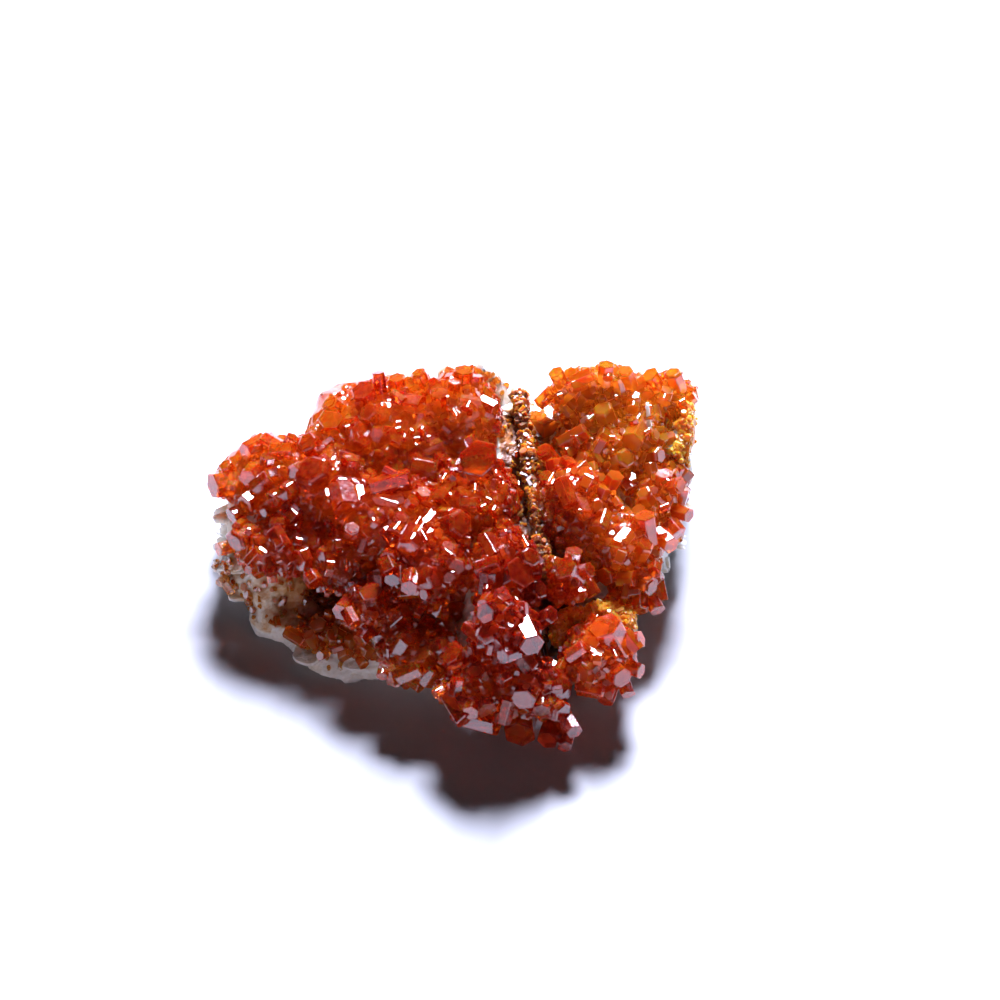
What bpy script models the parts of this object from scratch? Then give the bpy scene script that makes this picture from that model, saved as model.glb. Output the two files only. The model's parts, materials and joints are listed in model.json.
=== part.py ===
"""Vanadinite on matrix: red and orange six-sided crystals in crusts over a block of bladed white barite.

Millimetres throughout, times MM for Blender. +Z is up, the block rests on its sawn-flat underside at z = 0,
and the display face slopes up and back from -Y to +Y.
"""

import math
import random

import bmesh
import bpy
from mathutils import Euler, Matrix, Vector

MM = 0.001
FACE_SLOPE = math.radians(48)  # how far the display face leans back from flat to upright
CRUST = 1.7  # crystals' depth over the rock
GAP = 0.3  # clear space between one solid and the next
CHANNEL_HALF = 1.0  # half the width of the bare strip between the two crusts
CHANNEL_LINE = (Vector((0.9917, 0.1289, 0)), 10.12)
VOXEL = 0.7  # the grain at which the rock's masses are made one skin
ROCK_TRIANGLES = 900  # what the rock is thinned to, before its blades
ROOT = 2.2  # how far a blade's root is sunk in the rock
BLADE_TIP_WIDTH = 0.55  # of a blade's width at its root
BLADE_TIP_THICK = 0.4  # of its thickness there
SUNK = 0.3  # how far the ground of a crust lies under the mean height of its crystals
THINNEST_CORE = 0.9  # a swell thinner than this past the crust's own depth carries no core of rock
EDGE_FROM = 1.35  # a crystal over this radius has the rim of its end cut back,
EDGE = 0.28  # by this share of its radius

ACROSS = Vector((1, 0, 0))
RISE = Vector((0, math.sin(FACE_SLOPE), math.cos(FACE_SLOPE)))
OUT = Vector((0, -math.cos(FACE_SLOPE), math.sin(FACE_SLOPE)))

# The rock: x, y, z, and the three half-widths of each rounded mass.
ROCK = [
    (-20.4, 5.2, 4, 4.8, 5.2, 5.2), (-19, 0.6, 1.2, 4.6, 3.2, 2.8), (-23, 11, 5, 3.6, 6, 6.5),
    (-12, -1.6, 0, 7, 7, 3.4), (-6, -3, 1, 6, 5.6, 3.4), (-15, 11, 6, 9, 7, 7.6),
    (-6, 8, 6, 9, 8, 7.6), (-8, 17, 6, 11, 8, 8.2), (-14, 18, 7, 4.5, 4.5, 7), (3, 3, 5, 8, 9, 8),
    (5, -5, 5, 5.4, 5.4, 6.4), (3, 18, 7, 8, 7.4, 7.6), (14, 8, 5, 9, 9, 6.6),
    (20, 13, 5, 5.7, 10, 6.2), (18, 19, 8, 8.6, 6, 6.4), (10, 19, 6, 6, 6, 6.6),
    (16.4, -2, 1.6, 4.6, 5.4, 4), (15.6, -7.6, 3, 4, 4, 3.2), (-3.6, -6.4, 3.2, 5, 3.6, 4),
    (-7.4, -4.2, 5.2, 2.8, 2.8, 2.8), (-2, 22, 6, 7, 4, 8), (24, 21.6, 5.4, 3.4, 4.2, 7.2),
    (12, 23.5, 5, 8, 2.6, 7),
]
# Each crust: the rounded swells that it grows on, as above, out to the mean height of its crystals.
MAIN_SWELLS = [
    (-26, 12, 11, 2.2, 3, 2.6), (-21.3, 13, 11, 6, 6, 4.5), (-14.7, 11.4, 12, 7.5, 6.5, 5),
    (-7, 5.2, 12.5, 7.5, 6.5, 5), (-2.7, -1.1, 12, 5.5, 6, 5.5), (-19.1, 3.9, 9.3, 6.3, 4.4, 3.4),
    (-12.3, 1.5, 9.5, 5, 4.5, 3.5), (-6.8, 18.1, 13.5, 10.5, 8, 4.5), (-12, 20.1, 13, 5, 6, 4),
    (0.8, 19.5, 14.5, 5, 7, 4.5), (2.3, 7.8, 13, 5.5, 6, 5), (5.7, -1.9, 12, 4.3, 5.5, 5.5),
    (5.5, -11.3, 11, 4.6, 4.5, 6), (2.7, -15, 6.5, 5, 4, 4), (8.5, -14.4, 6.5, 5.5, 4, 4),
    (-3.8, -9.2, 6, 5.5, 4.5, 3.5), (-8.8, -4.3, 8, 4.5, 4, 3.5), (12.4, -17.6, 4.2, 1.9, 2.4, 2.4),
]
RIGHT_SWELLS = [
    (13.3, 7.9, 12, 5.5, 6, 5), (22.8, 13.2, 8.7, 4.2, 8, 4.8), (18, 19, 12.5, 7.5, 8, 4),
    (18.1, 4.3, 9.3, 6, 5, 4.4), (16.4, 22.2, 15.5, 6.5, 3.5, 4), (24.4, 23.3, 13, 4, 3.6, 3.8),
    (20.4, 1.4, 6.6, 3.8, 3.8, 3.8),
]
BALL_SWELLS = [(12.8, -2.5, 10.6, 2.5, 2.6, 3.2)]
LOWER_SWELLS = [(16.3, -9.6, 6.5, 4.8, 4.5, 4.2)]
SHELF_SWELLS = [(-13.1, -3.4, 2.8, 5.4, 3.2, 1.6), (-9.4, -4.6, 3.0, 3.0, 3.0, 1.6)]
CHANNEL_SWELLS = [
    (7.4, 21, 13.6, 2.6, 3, 1.6), (8.2, 15, 12.9, 2.6, 4, 1.4), (9.2, 8, 12.2, 2.4, 5, 1.4),
    (10, 2, 11.4, 2.2, 4.6, 1.4), (10.8, -4.6, 8.6, 2.2, 4, 2.6),
]
CAVITY_SWELLS = [(13.4, -6.4, 6.8, 2.8, 3.4, 1.8), (17.2, -4.4, 6.4, 3.4, 2.6, 1.8)]
EDGE_SWELLS = [(26, 20.6, 11.8, 1.6, 4.4, 3.6), (25.2, 16.4, 10.4, 1.4, 2.4, 3)]

# The larger crystals on the display face, by crust: across, rise along the face, radius, length, lean of the
# axis away from straight out of the face, its turn on the face (0 to the right, 90 up the slope), and spin.
# Each stands where its swell lies under it.
BALL_CRYSTALS = [
    (12.9, 6.2, 1.5, 3.1, 40, 130, 0), (11.6, 7.1, 1.1, 2.5, 50, 160, 0),
    (14.4, 6.4, 1.1, 2.5, 50, 20, 0), (12.2, 4.6, 1, 2.2, 45, 250, 0), (13.8, 4.4, 1, 2.2, 50, 300, 0),
    (13.3, 8, 1, 2, 55, 80, 0),
]
LOWER_RIGHT_CRYSTALS = [
    (17.6, -0.9, 2, 4.2, 52, 120, 10), (15.3, -4.3, 1.5, 3.4, 45, 210, 0),
    (18, -4.7, 1.5, 3.4, 40, 320, 10), (15.3, -6.5, 0.8, 3.4, 80, 346, 0),
    (17.3, -7.2, 1, 2.2, 60, 250, 0), (19.2, -6.4, 0.9, 2.2, 64, 290, 0),
    (13.6, -2.4, 0.9, 2.5, 74, 34, 0), (20, -1.2, 1, 2.2, 60, 10, 0),
    (13.9, -4.8, 1.1, 2.2, 45, 190, 0),
]
SHELF_CRYSTALS = [
    (-16, -1.2, 1.1, 2.2, 50, 120, 0), (-13.9, -1.2, 1.2, 2.5, 40, 60, 0),
    (-11.7, -1.6, 1.1, 2.2, 50, 90, 0), (-12.2, -2.9, 0.9, 1.8, 50, 30, 0),
    (-9.9, -2.4, 1.1, 2.2, 45, 320, 0), (-13.1, -0.6, 1, 2, 45, 150, 0), (-8.5, -2.9, 1, 2, 50, 0, 0),
]
MAIN_CRYSTALS = [
    (-25.6, 16.3, 1.5, 3.8, 62, 188, 0), (-25.5, 17.9, 0.9, 2, 50, 120, 10),
    (-22.6, 20.4, 1.3, 2.9, 55, 205, 20), (-20, 21.1, 1.2, 3.8, 80, 354, 10),
    (-22.6, 14.6, 1.3, 2.9, 60, 215, 0), (-15.6, 17, 2.1, 4.3, 34, 115, 8),
    (-14.3, 14.2, 1.3, 2.9, 40, 300, 0), (-12.1, 14.5, 1.9, 4.5, 42, 285, 10),
    (-23.7, 10.3, 1.5, 3.1, 50, 210, 10), (-25.8, 9.1, 0.9, 1.8, 65, 195, 0),
    (-10, 26, 1.4, 3.1, 45, 110, 0), (-13.5, 22.8, 1.5, 3.4, 38, 120, 0),
    (-11.2, 21.2, 1.6, 3.4, 45, 40, 0), (-3.4, 17.6, 1.5, 3.6, 80, 2, 0),
    (-7.8, 19.4, 1.3, 2.9, 40, 30, 10), (-7.1, 16.3, 1.3, 4.7, 82, 14, 30),
    (-5.2, 25.5, 1.3, 3.4, 70, 348, 0), (-8.9, 24, 1.3, 2.9, 50, 150, 10),
    (-7, 21.2, 1.3, 2.7, 45, 40, 0), (-16, 20.4, 1.4, 3.1, 40, 130, 5),
    (2.5, 18.7, 2.3, 4.2, 16, 60, 12), (-4.6, 10, 1.5, 3.4, 44, 240, 10), (-3, 5.8, 1.5, 3.4, 45, 2, 0),
    (-1.2, 14.5, 1.3, 2.7, 45, 120, 0), (-0.2, 11.5, 1.8, 4, 40, 20, 10),
    (6.5, 5.8, 1.9, 3.8, 42, 32, 5), (4.3, 2.2, 1.3, 2.7, 40, 200, 0),
    (4.6, -1.3, 1.4, 4.4, 44, 130, 10), (8.1, -0.6, 1.8, 3.8, 42, 300, 8),
    (0.4, -3.3, 1.5, 3.1, 45, 130, 10), (8.8, 4.2, 1.3, 2.9, 45, 20, 0),
    (0.3, 1.9, 1.4, 2.9, 40, 130, 0), (0.6, -8.4, 1.5, 3.8, 70, 302, 0), (3.1, -10, 1.5, 4, 66, 346, 0),
    (7.4, -10.4, 1.9, 3.8, 44, 268, 8), (11.1, -8.7, 1.5, 3.4, 50, 332, 0),
    (9.8, -8, 1.3, 2.7, 45, 265, 0), (8.2, -6.9, 1.5, 3.1, 38, 240, 10),
    (2.9, -5.5, 1.3, 2.9, 45, 120, 0), (-4.9, -4.7, 1.1, 3.2, 66, 24, 0),
    (-1.9, -2.4, 1.3, 2.9, 60, 20, 0), (-8.9, 3.3, 1.4, 3.1, 45, 110, 8),
    (-6.1, 1.5, 1.3, 2.9, 45, 40, 10),
]
RIGHT_CRYSTALS = [
    (17.1, 28.7, 1, 2.7, 60, 85, 0), (22.7, 27.8, 1.1, 2.9, 50, 122, 0),
    (25.1, 28, 1.1, 2.7, 55, 110, 0), (13.5, 21.5, 1.1, 3.4, 76, 30, 0),
    (10.7, 19.3, 1.1, 2.7, 50, 130, 10), (10.2, 22.8, 1.4, 3.5, 40, 330, 0),
    (17.1, 23.9, 1.3, 3.1, 45, 110, 0), (20.4, 21.7, 1.4, 3.1, 36, 240, 10),
    (18.7, 18.8, 1.3, 3.1, 40, 30, 0), (12.6, 15.3, 1.1, 3.4, 68, 292, 0),
    (21.6, 11.2, 1.3, 3.7, 60, 98, 0), (16.4, 12, 1.1, 2.7, 45, 250, 0),
    (25.5, 13.1, 1.1, 2.7, 55, 340, 0), (23.7, 10, 1.1, 2.7, 50, 320, 0),
    (24.5, 16, 1.1, 2.5, 50, 10, 0), (21.1, 8.7, 1.1, 2.9, 50, 60, 0),
    (21.3, 5.3, 1.1, 2.7, 50, 330, 0), (17.6, 6.1, 1.1, 2.5, 40, 200, 10),
    (20.9, 3, 1.1, 2.5, 55, 270, 0),
]
OUTLINE = [
    (-27.6, 16.3), (-26.2, 18.3), (-24.5, 18), (-23.3, 18.9), (-23.3, 21.5), (-20.4, 22.5),
    (-18.2, 21.7), (-15.8, 22.6), (-13.9, 26.6), (-9.1, 27.8), (-9.1, 28.8), (-8.3, 29), (-7.8, 28.2),
    (-5.1, 28.1), (-1.6, 29.8), (-0.2, 29.1), (3.5, 30.4), (6, 27.1), (11.5, 26.9), (10.8, 28),
    (11.7, 28.9), (15.7, 28.9), (17.5, 30.1), (19.4, 29.6), (20.4, 28.3), (23.1, 29.4), (26.5, 28.4),
    (27.5, 27.1), (26.2, 12.2), (25.4, 9.1), (23.4, 6.4), (23.3, 2.8), (21.1, 0.1), (20.1, -2.9),
    (20.7, -5.2), (19.8, -6.9), (17, -8.3), (13.6, -7.8), (14.3, -10.2), (13.5, -13.5), (11.9, -13.9),
    (5.2, -11.5), (0.4, -11.1), (-2, -6.6), (-11.5, -6.5), (-22.9, 0.7), (-27.5, 6.1), (-26.7, 7.8),
    (-24.9, 8.2), (-26.5, 9.1), (-25.8, 11.5), (-24, 12.5), (-25.1, 13.1), (-24.8, 14.2),
]
# Barite blades: root x, y, z, the way each points (heading, climb), roll, and length, width, thickness.
BLADES = [
    (22.2, 16.4, 13.4, 100, 62, 80, 4.6, 1.8, 0.8), (2.4, 23, 14.4, 78, 46, 0, 3.4, 1.6, 0.7),
    (3, 23.2, 14.4, 72, 42, 10, 3.2, 1, 0.6), (5, 22, 13.7, 116, 40, 0, 4.2, 0.8, 0.7),
    (5.6, 22, 13.6, 114, 41, 5, 3.8, 0.8, 0.7), (6.2, 21.9, 13.4, 112, 40, -5, 3.2, 0.8, 0.7),
    (6.8, 22, 12.8, 95, 45, 0, 2.6, 1, 0.8), (-0.6, 23.2, 12.8, 95, 48, 0, 4, 4, 0.9),
    (-4.6, 23.2, 12.6, 110, 40, 20, 4, 4, 0.9), (-11.2, 20.4, 12.8, 120, 30, 5, 3.6, 4.4, 1),
    (-13.6, 18.8, 11.4, 140, 24, 15, 3.6, 4, 1), (7.6, 22.2, 11.6, 90, 50, 40, 3, 4, 1),
    (24.6, 16.6, 8.6, 0, 10, 84, 2.4, 9, 1.1), (24.4, 21, 10, 30, 30, 75, 2.6, 7, 1),
    (24, 11.4, 7.4, -10, 6, 80, 2, 8, 1), (-24.4, 9.6, 8, 185, 6, 30, 3, 2.2, 0.8),
    (-24, 5, 4.6, 190, 8, 20, 3.4, 2.6, 0.8), (-22.8, 2.8, 2.8, 195, 0, 10, 2.8, 2.4, 0.8),
    (-22.4, 6.6, 3, 205, 0, 5, 3, 3.4, 0.9), (-23.4, 12.4, 8.6, 170, 20, 15, 2.6, 4, 1),
    (-16, -4.6, 1.6, 240, 0, 6, 2.4, 5, 1), (-10.6, -5.6, 1.4, 268, 0, 0, 2, 7, 1.2),
    (-18.4, 19.6, 7, 130, 10, 60, 3, 5, 1), (2, 23.4, 5, 90, 6, 70, 2.6, 7, 1.1),
    (14, 23.4, 6, 80, 10, 30, 2.6, 8, 1.1), (20.6, 23.4, 5, 70, 4, 65, 2.8, 7, 1),
    (-8, 22.8, 6, 100, 12, 45, 3, 7, 1.1), (8, 23, 8.6, 95, 20, 5, 2.6, 6, 1),
    (23.6, 22.4, 11, 50, 24, 20, 2.4, 6, 1),
]


def shape_object(name, bm, where):
    mesh = bpy.data.meshes.new(name)
    bm.to_mesh(mesh)
    bm.free()
    made = bpy.data.objects.new(name, mesh)
    where.objects.link(made)
    return made


def rounded_mass(name, swell, grow, where, divisions=2):
    x, y, z, *half = swell
    bm = bmesh.new()
    bmesh.ops.create_icosphere(bm, subdivisions=divisions, radius=1)
    bmesh.ops.transform(
        bm,
        matrix=Matrix.Translation(Vector((x, y, z)) * MM)
        @ Matrix.Diagonal([(h + grow) * MM for h in half] + [1]),
        verts=bm.verts,
    )
    return shape_object(name, bm, where)


def axes_of(lean, turn, spin):
    """The crystal's own axes, as the columns of a matrix: z runs along the prism."""
    lean, turn = math.radians(lean), math.radians(turn)
    along = (
        ACROSS * math.sin(lean) * math.cos(turn)
        + RISE * math.sin(lean) * math.sin(turn)
        + OUT * math.cos(lean)
    )
    seen = OUT if math.sin(lean) > 0.57 else RISE
    first = (seen - along * seen.dot(along)).normalized()
    turned = Matrix((first, along.cross(first), along)).transposed().to_4x4()
    return turned @ Matrix.Rotation(math.radians(spin + 30), 4, "Z")


def swell_surface(swells, across, rise):
    """How far out of the face the swells reach at a point of it."""
    start = ACROSS * across + RISE * rise
    nearest, reach = None, None
    for x, y, z, *half in swells:
        way = Vector([OUT[i] / half[i] for i in range(3)])
        off = Vector([(start[i] - (x, y, z)[i]) / half[i] for i in range(3)])
        middle = -off.dot(way) / way.dot(way)
        miss = (off + way * middle).length
        if miss < 1:
            top = middle + math.sqrt((1 - miss * miss) / way.dot(way))
            reach = top if reach is None else max(reach, top)
        elif nearest is None or miss < nearest[0]:
            nearest = (miss, middle)
    return nearest[1] if reach is None else reach


def place_of(row, swells):
    """Where a crystal of the display face stands, its outer end proud of the swell under it."""
    across, rise, radius, length, lean, turn, spin = row
    tilt = math.radians(lean)
    half_depth = length / 2 * math.cos(tilt) + 0.9 * radius * math.sin(tilt)
    proud = 0.35 + 0.55 * radius + (0.4 if lean > 60 else 0)
    out = swell_surface(swells, across, rise) + proud - half_depth
    point = ACROSS * across + RISE * rise + OUT * out
    return Matrix.Translation(point * MM) @ axes_of(lean, turn, spin)


def prism(name, place, radius, length, where, chamfer=0.0):
    bm = bmesh.new()
    bmesh.ops.create_cone(
        bm, cap_ends=True, segments=6, radius1=radius * MM, radius2=radius * MM, depth=length * MM
    )
    if chamfer:
        tip = [e for e in bm.edges if all(v.co.z > 0 for v in e.verts)]
        bmesh.ops.bevel(bm, geom=tip, offset=chamfer * MM, segments=1, affect="EDGES", clamp_overlap=True)
    bmesh.ops.transform(bm, matrix=place, verts=bm.verts)
    return shape_object(name, bm, where)


def blade(name, row, grow, where):
    x, y, z, heading, climb, roll, length, width, thick = row
    bm = bmesh.new()
    bmesh.ops.create_cube(bm, size=1)
    for v in bm.verts:
        outer = v.co.x > 0
        v.co.x = (v.co.x + 0.5) * length + (grow if outer else -ROOT - grow)
        v.co.y *= width * (BLADE_TIP_WIDTH if outer else 1) + 2 * grow
        v.co.z *= thick * (BLADE_TIP_THICK if outer else 1) + 2 * grow
    turned = Euler((math.radians(roll), math.radians(-climb), math.radians(heading))).to_matrix()
    place = Matrix.Translation(Vector((x, y, z)) * MM) @ turned.to_4x4() @ Matrix.Scale(MM, 4)
    bmesh.ops.transform(bm, matrix=place, verts=bm.verts)
    return shape_object(name, bm, where)


def half_space(name, normal, at_least, where):
    """A block that fills everything where normal . point is at least the given distance."""
    size = 200
    bm = bmesh.new()
    bmesh.ops.create_cube(bm, size=size * MM)
    place = Matrix.Translation(normal * (at_least + size / 2) * MM)
    bmesh.ops.transform(
        bm, matrix=place @ normal.to_track_quat("Z", "Y").to_matrix().to_4x4(), verts=bm.verts
    )
    return shape_object(name, bm, where)


def tools(name):
    made = bpy.data.collections.new(name)
    made.hide_render = True
    bpy.context.scene.collection.children.link(made)
    return made


def boolean(body, operation, operands):
    modifier = body.modifiers.new(operation.lower(), "BOOLEAN")
    modifier.operation = operation
    modifier.solver = "EXACT"
    modifier.operand_type = "COLLECTION"
    modifier.collection = operands


def applied(body):
    """Puts the modifiers' result in the object's own mesh."""
    bpy.context.view_layer.update()
    graph = bpy.context.evaluated_depsgraph_get()
    mesh = bpy.data.meshes.new_from_object(body.evaluated_get(graph))
    body.modifiers.clear()
    body.data = mesh


def largest_piece(body):
    """Drops the crumbs that a cut leaves beside the main piece."""
    bm = bmesh.new()
    bm.from_mesh(body.data)
    left, pieces = set(bm.verts), []
    while left:
        front = [left.pop()]
        piece = list(front)
        while front:
            for edge in front.pop().link_edges:
                for v in edge.verts:
                    if v in left:
                        left.remove(v)
                        front.append(v)
                        piece.append(v)
        pieces.append(piece)
    pieces.sort(key=len)
    for piece in pieces[:-1]:
        bmesh.ops.delete(bm, geom=piece, context="VERTS")
    bm.to_mesh(body.data)
    bm.free()


def material(name, colour, roughness, transmission=0.0, ior=1.5):
    made = bpy.data.materials.new(name)
    made.use_nodes = True
    shader = made.node_tree.nodes["Principled BSDF"]
    shader.inputs["Base Color"].default_value = (*colour, 1)
    shader.inputs["Roughness"].default_value = roughness
    shader.inputs["Transmission Weight"].default_value = transmission
    shader.inputs["IOR"].default_value = ior
    made.diffuse_color = (*colour, 1)
    return made


def inside(point, swell, grow=0.0):
    return sum(((point[i] - swell[i]) / (swell[3 + i] + grow)) ** 2 for i in range(3)) < 1


def within_outline(point):
    """Whether a point shows inside the object's outline as seen square on to the display face."""
    across, rise, odd = point.x, point.dot(RISE), False
    for (xa, ya), (xb, yb) in zip(OUTLINE, OUTLINE[1:] + OUTLINE[:1]):
        if (ya > rise) != (yb > rise) and across < xa + (rise - ya) * (xb - xa) / (yb - ya):
            odd = not odd
    return odd


def filling(swells, others, taken, count, lowest=-0.2):
    """Smaller crystals standing on the swells between the larger ones, as (place, radius, length)."""
    found = []
    for _ in range(20000):
        if len(found) == count:
            break
        x, y, z, *half = random.choice(swells)
        way = Vector([random.gauss(0, 1) for _ in range(3)]).normalized()
        point = Vector((x, y, z)) + Vector([w * h for w, h in zip(way, half)])
        normal = Vector([w / h for w, h in zip(way, half)]).normalized()
        radius, length = random.uniform(0.85, 1.5), random.uniform(2.4, 3.6)
        line = point.dot(CHANNEL_LINE[0]) - CHANNEL_LINE[1]
        if (
            normal.z < lowest
            or point.z < 2.6
            or abs(line) < CHANNEL_HALF + 0.4
            or sum(inside(point, s, -0.15) for s in swells) > 0
            or any(inside(point, s, 0.3) for s in others)
            or any((point - c).length < 0.8 * (radius + r) for c, r in taken)
        ):
            continue
        tilt = Vector([random.uniform(-0.55, 0.55) for _ in range(3)])
        axis = (normal + tilt).normalized()
        place = (
            Matrix.Translation((point - axis * (length / 2 - random.uniform(0.5, 1.1))) * MM)
            @ axis.to_track_quat("Z", "Y").to_matrix().to_4x4()
            @ Matrix.Rotation(random.uniform(0, 1.05), 4, "Z")
        )
        corners = [
            place @ (Vector((radius * math.cos(a), radius * math.sin(a), end * length / 2)) * MM) / MM
            for a in [math.radians(60 * k) for k in range(6)]
            for end in (-1, 1)
        ]
        if not all(within_outline(c) and c.y < 26.5 for c in corners):
            continue
        taken.append((point, radius))
        found.append((place, radius, length))
    return found


for old in list(bpy.data.objects):
    bpy.data.objects.remove(old)
random.seed(61)
model = bpy.data.collections.new("vanadinite_on_matrix")
bpy.context.scene.collection.children.link(model)

vanadinite = material("vanadinite", (0.42, 0.045, 0.012), 0.08, 0.6, 2.2)
vanadinite_pale = material("vanadinite_pale", (0.62, 0.13, 0.02), 0.08, 0.6, 2.2)
druse = material("vanadinite_druse", (0.7, 0.3, 0.04), 0.3)
barite = material("barite", (0.72, 0.69, 0.66), 0.55)

# The rock: every mass as one skin, with the cores that carry the crusts, then thinned and cut flat below.
CRUST_SWELLS = MAIN_SWELLS + RIGHT_SWELLS + BALL_SWELLS + LOWER_SWELLS
rock_parts = [rounded_mass(f"mass_{i}", s, 0, model, 3) for i, s in enumerate(ROCK)]
rock_parts += [
    rounded_mass(f"core_{i}", s, -CRUST, model, 3)
    for i, s in enumerate(CRUST_SWELLS)
    if min(s[3:]) > CRUST + THINNEST_CORE
]
rock_parts.append(prism("core_join", Matrix.Translation(Vector((5.4, -9.5, 8)) * MM), 2.6, 6, model))
for part in rock_parts:
    part.select_set(True)
bpy.context.view_layer.objects.active = rock_parts[0]
bpy.ops.object.join()
rock = bpy.context.view_layer.objects.active
rock.name = "barite_matrix"
skin = rock.modifiers.new("skin", "REMESH")
skin.mode = "VOXEL"
skin.voxel_size = VOXEL * MM
pits = bpy.data.textures.new("pits", "CLOUDS")
pits.noise_scale = 4.5 * MM
rough = rock.modifiers.new("rough", "DISPLACE")
rough.texture = pits
rough.texture_coords = "LOCAL"
rough.strength = 1.3 * MM
rough.mid_level = 0.55
applied(rock)
ease = rock.modifiers.new("ease", "SMOOTH")
ease.factor = 0.5
ease.iterations = 10
applied(rock)
thin = rock.modifiers.new("thin", "DECIMATE")
thin.ratio = ROCK_TRIANGLES / (2 * len(rock.data.polygons))
applied(rock)
below = tools("below")
half_space("table_side", Vector((0, 0, -1)), 0.0, below)
boolean(rock, "DIFFERENCE", below)
applied(rock)
largest_piece(rock)

clear_of_rock = tools("clear_of_rock")
grown = rock.copy()
grown.data = rock.data.copy()
grown.name = "grown_rock"
clear_of_rock.objects.link(grown)
swell_out = grown.modifiers.new("gap", "DISPLACE")
swell_out.strength = GAP * 2.2 * MM
swell_out.mid_level = 0
skin = grown.modifiers.new("skin", "REMESH")
skin.mode = "VOXEL"
skin.voxel_size = 0.75 * VOXEL * MM
applied(grown)
thin = grown.modifiers.new("thin", "DECIMATE")
thin.ratio = 1.1 * ROCK_TRIANGLES / (2 * len(grown.data.polygons))
applied(grown)
for i, row in enumerate(BLADES):
    blade(f"grown_blade_{i}", row, GAP, clear_of_rock)
half_space("grown_table", Vector((0, 0, -1)), -0.4, clear_of_rock)

blades = tools("blades")
for i, row in enumerate(BLADES):
    blade(f"blade_{i}", row, 0, blades)
boolean(rock, "UNION", blades)
applied(rock)
largest_piece(rock)
rock.data.materials.clear()
rock.data.materials.append(barite)


def cluster(name, swells, rows, fill, cutters, paint, taken_swells=(), lowest=-0.2):
    """One crust: its swells and crystals joined, then cut clear of the rock and of what it grows against."""
    taken = []
    for row in rows:
        taken.append((place_of(row, swells).translation / MM, row[2]))
    extra = filling(swells, list(taken_swells), taken, fill, lowest)
    operands, grown_here = tools(name + "_crystals"), tools(name + "_grown")
    body = rounded_mass(name, swells[0], -SUNK, model)
    for i, s in enumerate(swells):
        if i:
            rounded_mass(f"{name}_swell_{i}", s, -SUNK, operands)
        rounded_mass(f"{name}_swell_g{i}", s, GAP - SUNK, grown_here)
    shapes = [(place_of(r, swells), r[2], r[3]) for r in rows] + extra
    for i, (place, radius, length) in enumerate(shapes):
        edge = EDGE * radius if radius > EDGE_FROM else 0
        prism(f"{name}_crystal_{i}", place, radius, length, operands, edge)
        prism(f"{name}_crystal_g{i}", place, radius + GAP, length + 2 * GAP, grown_here)
    boolean(body, "UNION", operands)
    applied(body)
    for cutter in [clear_of_rock, *cutters]:
        boolean(body, "DIFFERENCE", cutter)
        applied(body)
    largest_piece(body)
    body.data.materials.clear()
    body.data.materials.append(paint)
    return grown_here


def patch(name, swells, cutters, paint):
    """A low pad of fine druse lying on the rock."""
    operands = tools(name + "_swells")
    body = rounded_mass(name, swells[0], 0, model)
    for i, s in enumerate(swells[1:]):
        rounded_mass(f"{name}_{i}", s, 0, operands)
    if swells[1:]:
        boolean(body, "UNION", operands)
        applied(body)
    for cutter in [clear_of_rock, *cutters]:
        boolean(body, "DIFFERENCE", cutter)
        applied(body)
    largest_piece(body)
    body.data.materials.clear()
    body.data.materials.append(paint)


normal, line = CHANNEL_LINE
past_channel = tools("past_channel")
half_space("past_channel", normal, line - CHANNEL_HALF, past_channel)
before_channel = tools("before_channel")
half_space("before_channel", -normal, -(line + CHANNEL_HALF), before_channel)
channel_sides = tools("channel_sides")
half_space("channel_far_side", normal, line + CHANNEL_HALF - GAP, channel_sides)
half_space("channel_near_side", -normal, -(line - CHANNEL_HALF + GAP), channel_sides)

ball = cluster("gap_ball", BALL_SWELLS, BALL_CRYSTALS, 2, [], vanadinite)
lower = cluster("lower_right_crust", LOWER_SWELLS, LOWER_RIGHT_CRYSTALS, 4, [ball], vanadinite_pale)
main = cluster(
    "main_crust", MAIN_SWELLS, MAIN_CRYSTALS, 8, [past_channel, ball, lower], vanadinite, LOWER_SWELLS,
)
right = cluster(
    "right_crust", RIGHT_SWELLS, RIGHT_CRYSTALS, 6, [before_channel, ball, lower], vanadinite_pale,
    BALL_SWELLS,
)
cluster("shelf_crust", SHELF_SWELLS, SHELF_CRYSTALS, 2, [main], vanadinite_pale, MAIN_SWELLS)
patch("channel_druse", CHANNEL_SWELLS, [channel_sides, ball, lower], druse)
patch("cavity_druse", CAVITY_SWELLS, [main, right, ball, lower], druse)
patch("edge_druse", EDGE_SWELLS, [right], druse)

for cutter in bpy.data.objects:
    if cutter.name not in model.objects:
        cutter.hide_render = True
        cutter.display_type = "WIRE"
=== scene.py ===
"""The finish of a vanadinite specimen on barite: the crystals, the white rock, the light and the camera.

Lengths are millimetres, times MM for Blender.
"""

import json
import math
import random

import bmesh
import bpy
import numpy as np
from mathutils import Euler, Matrix, Vector
from mathutils.bvhtree import BVHTree

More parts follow.
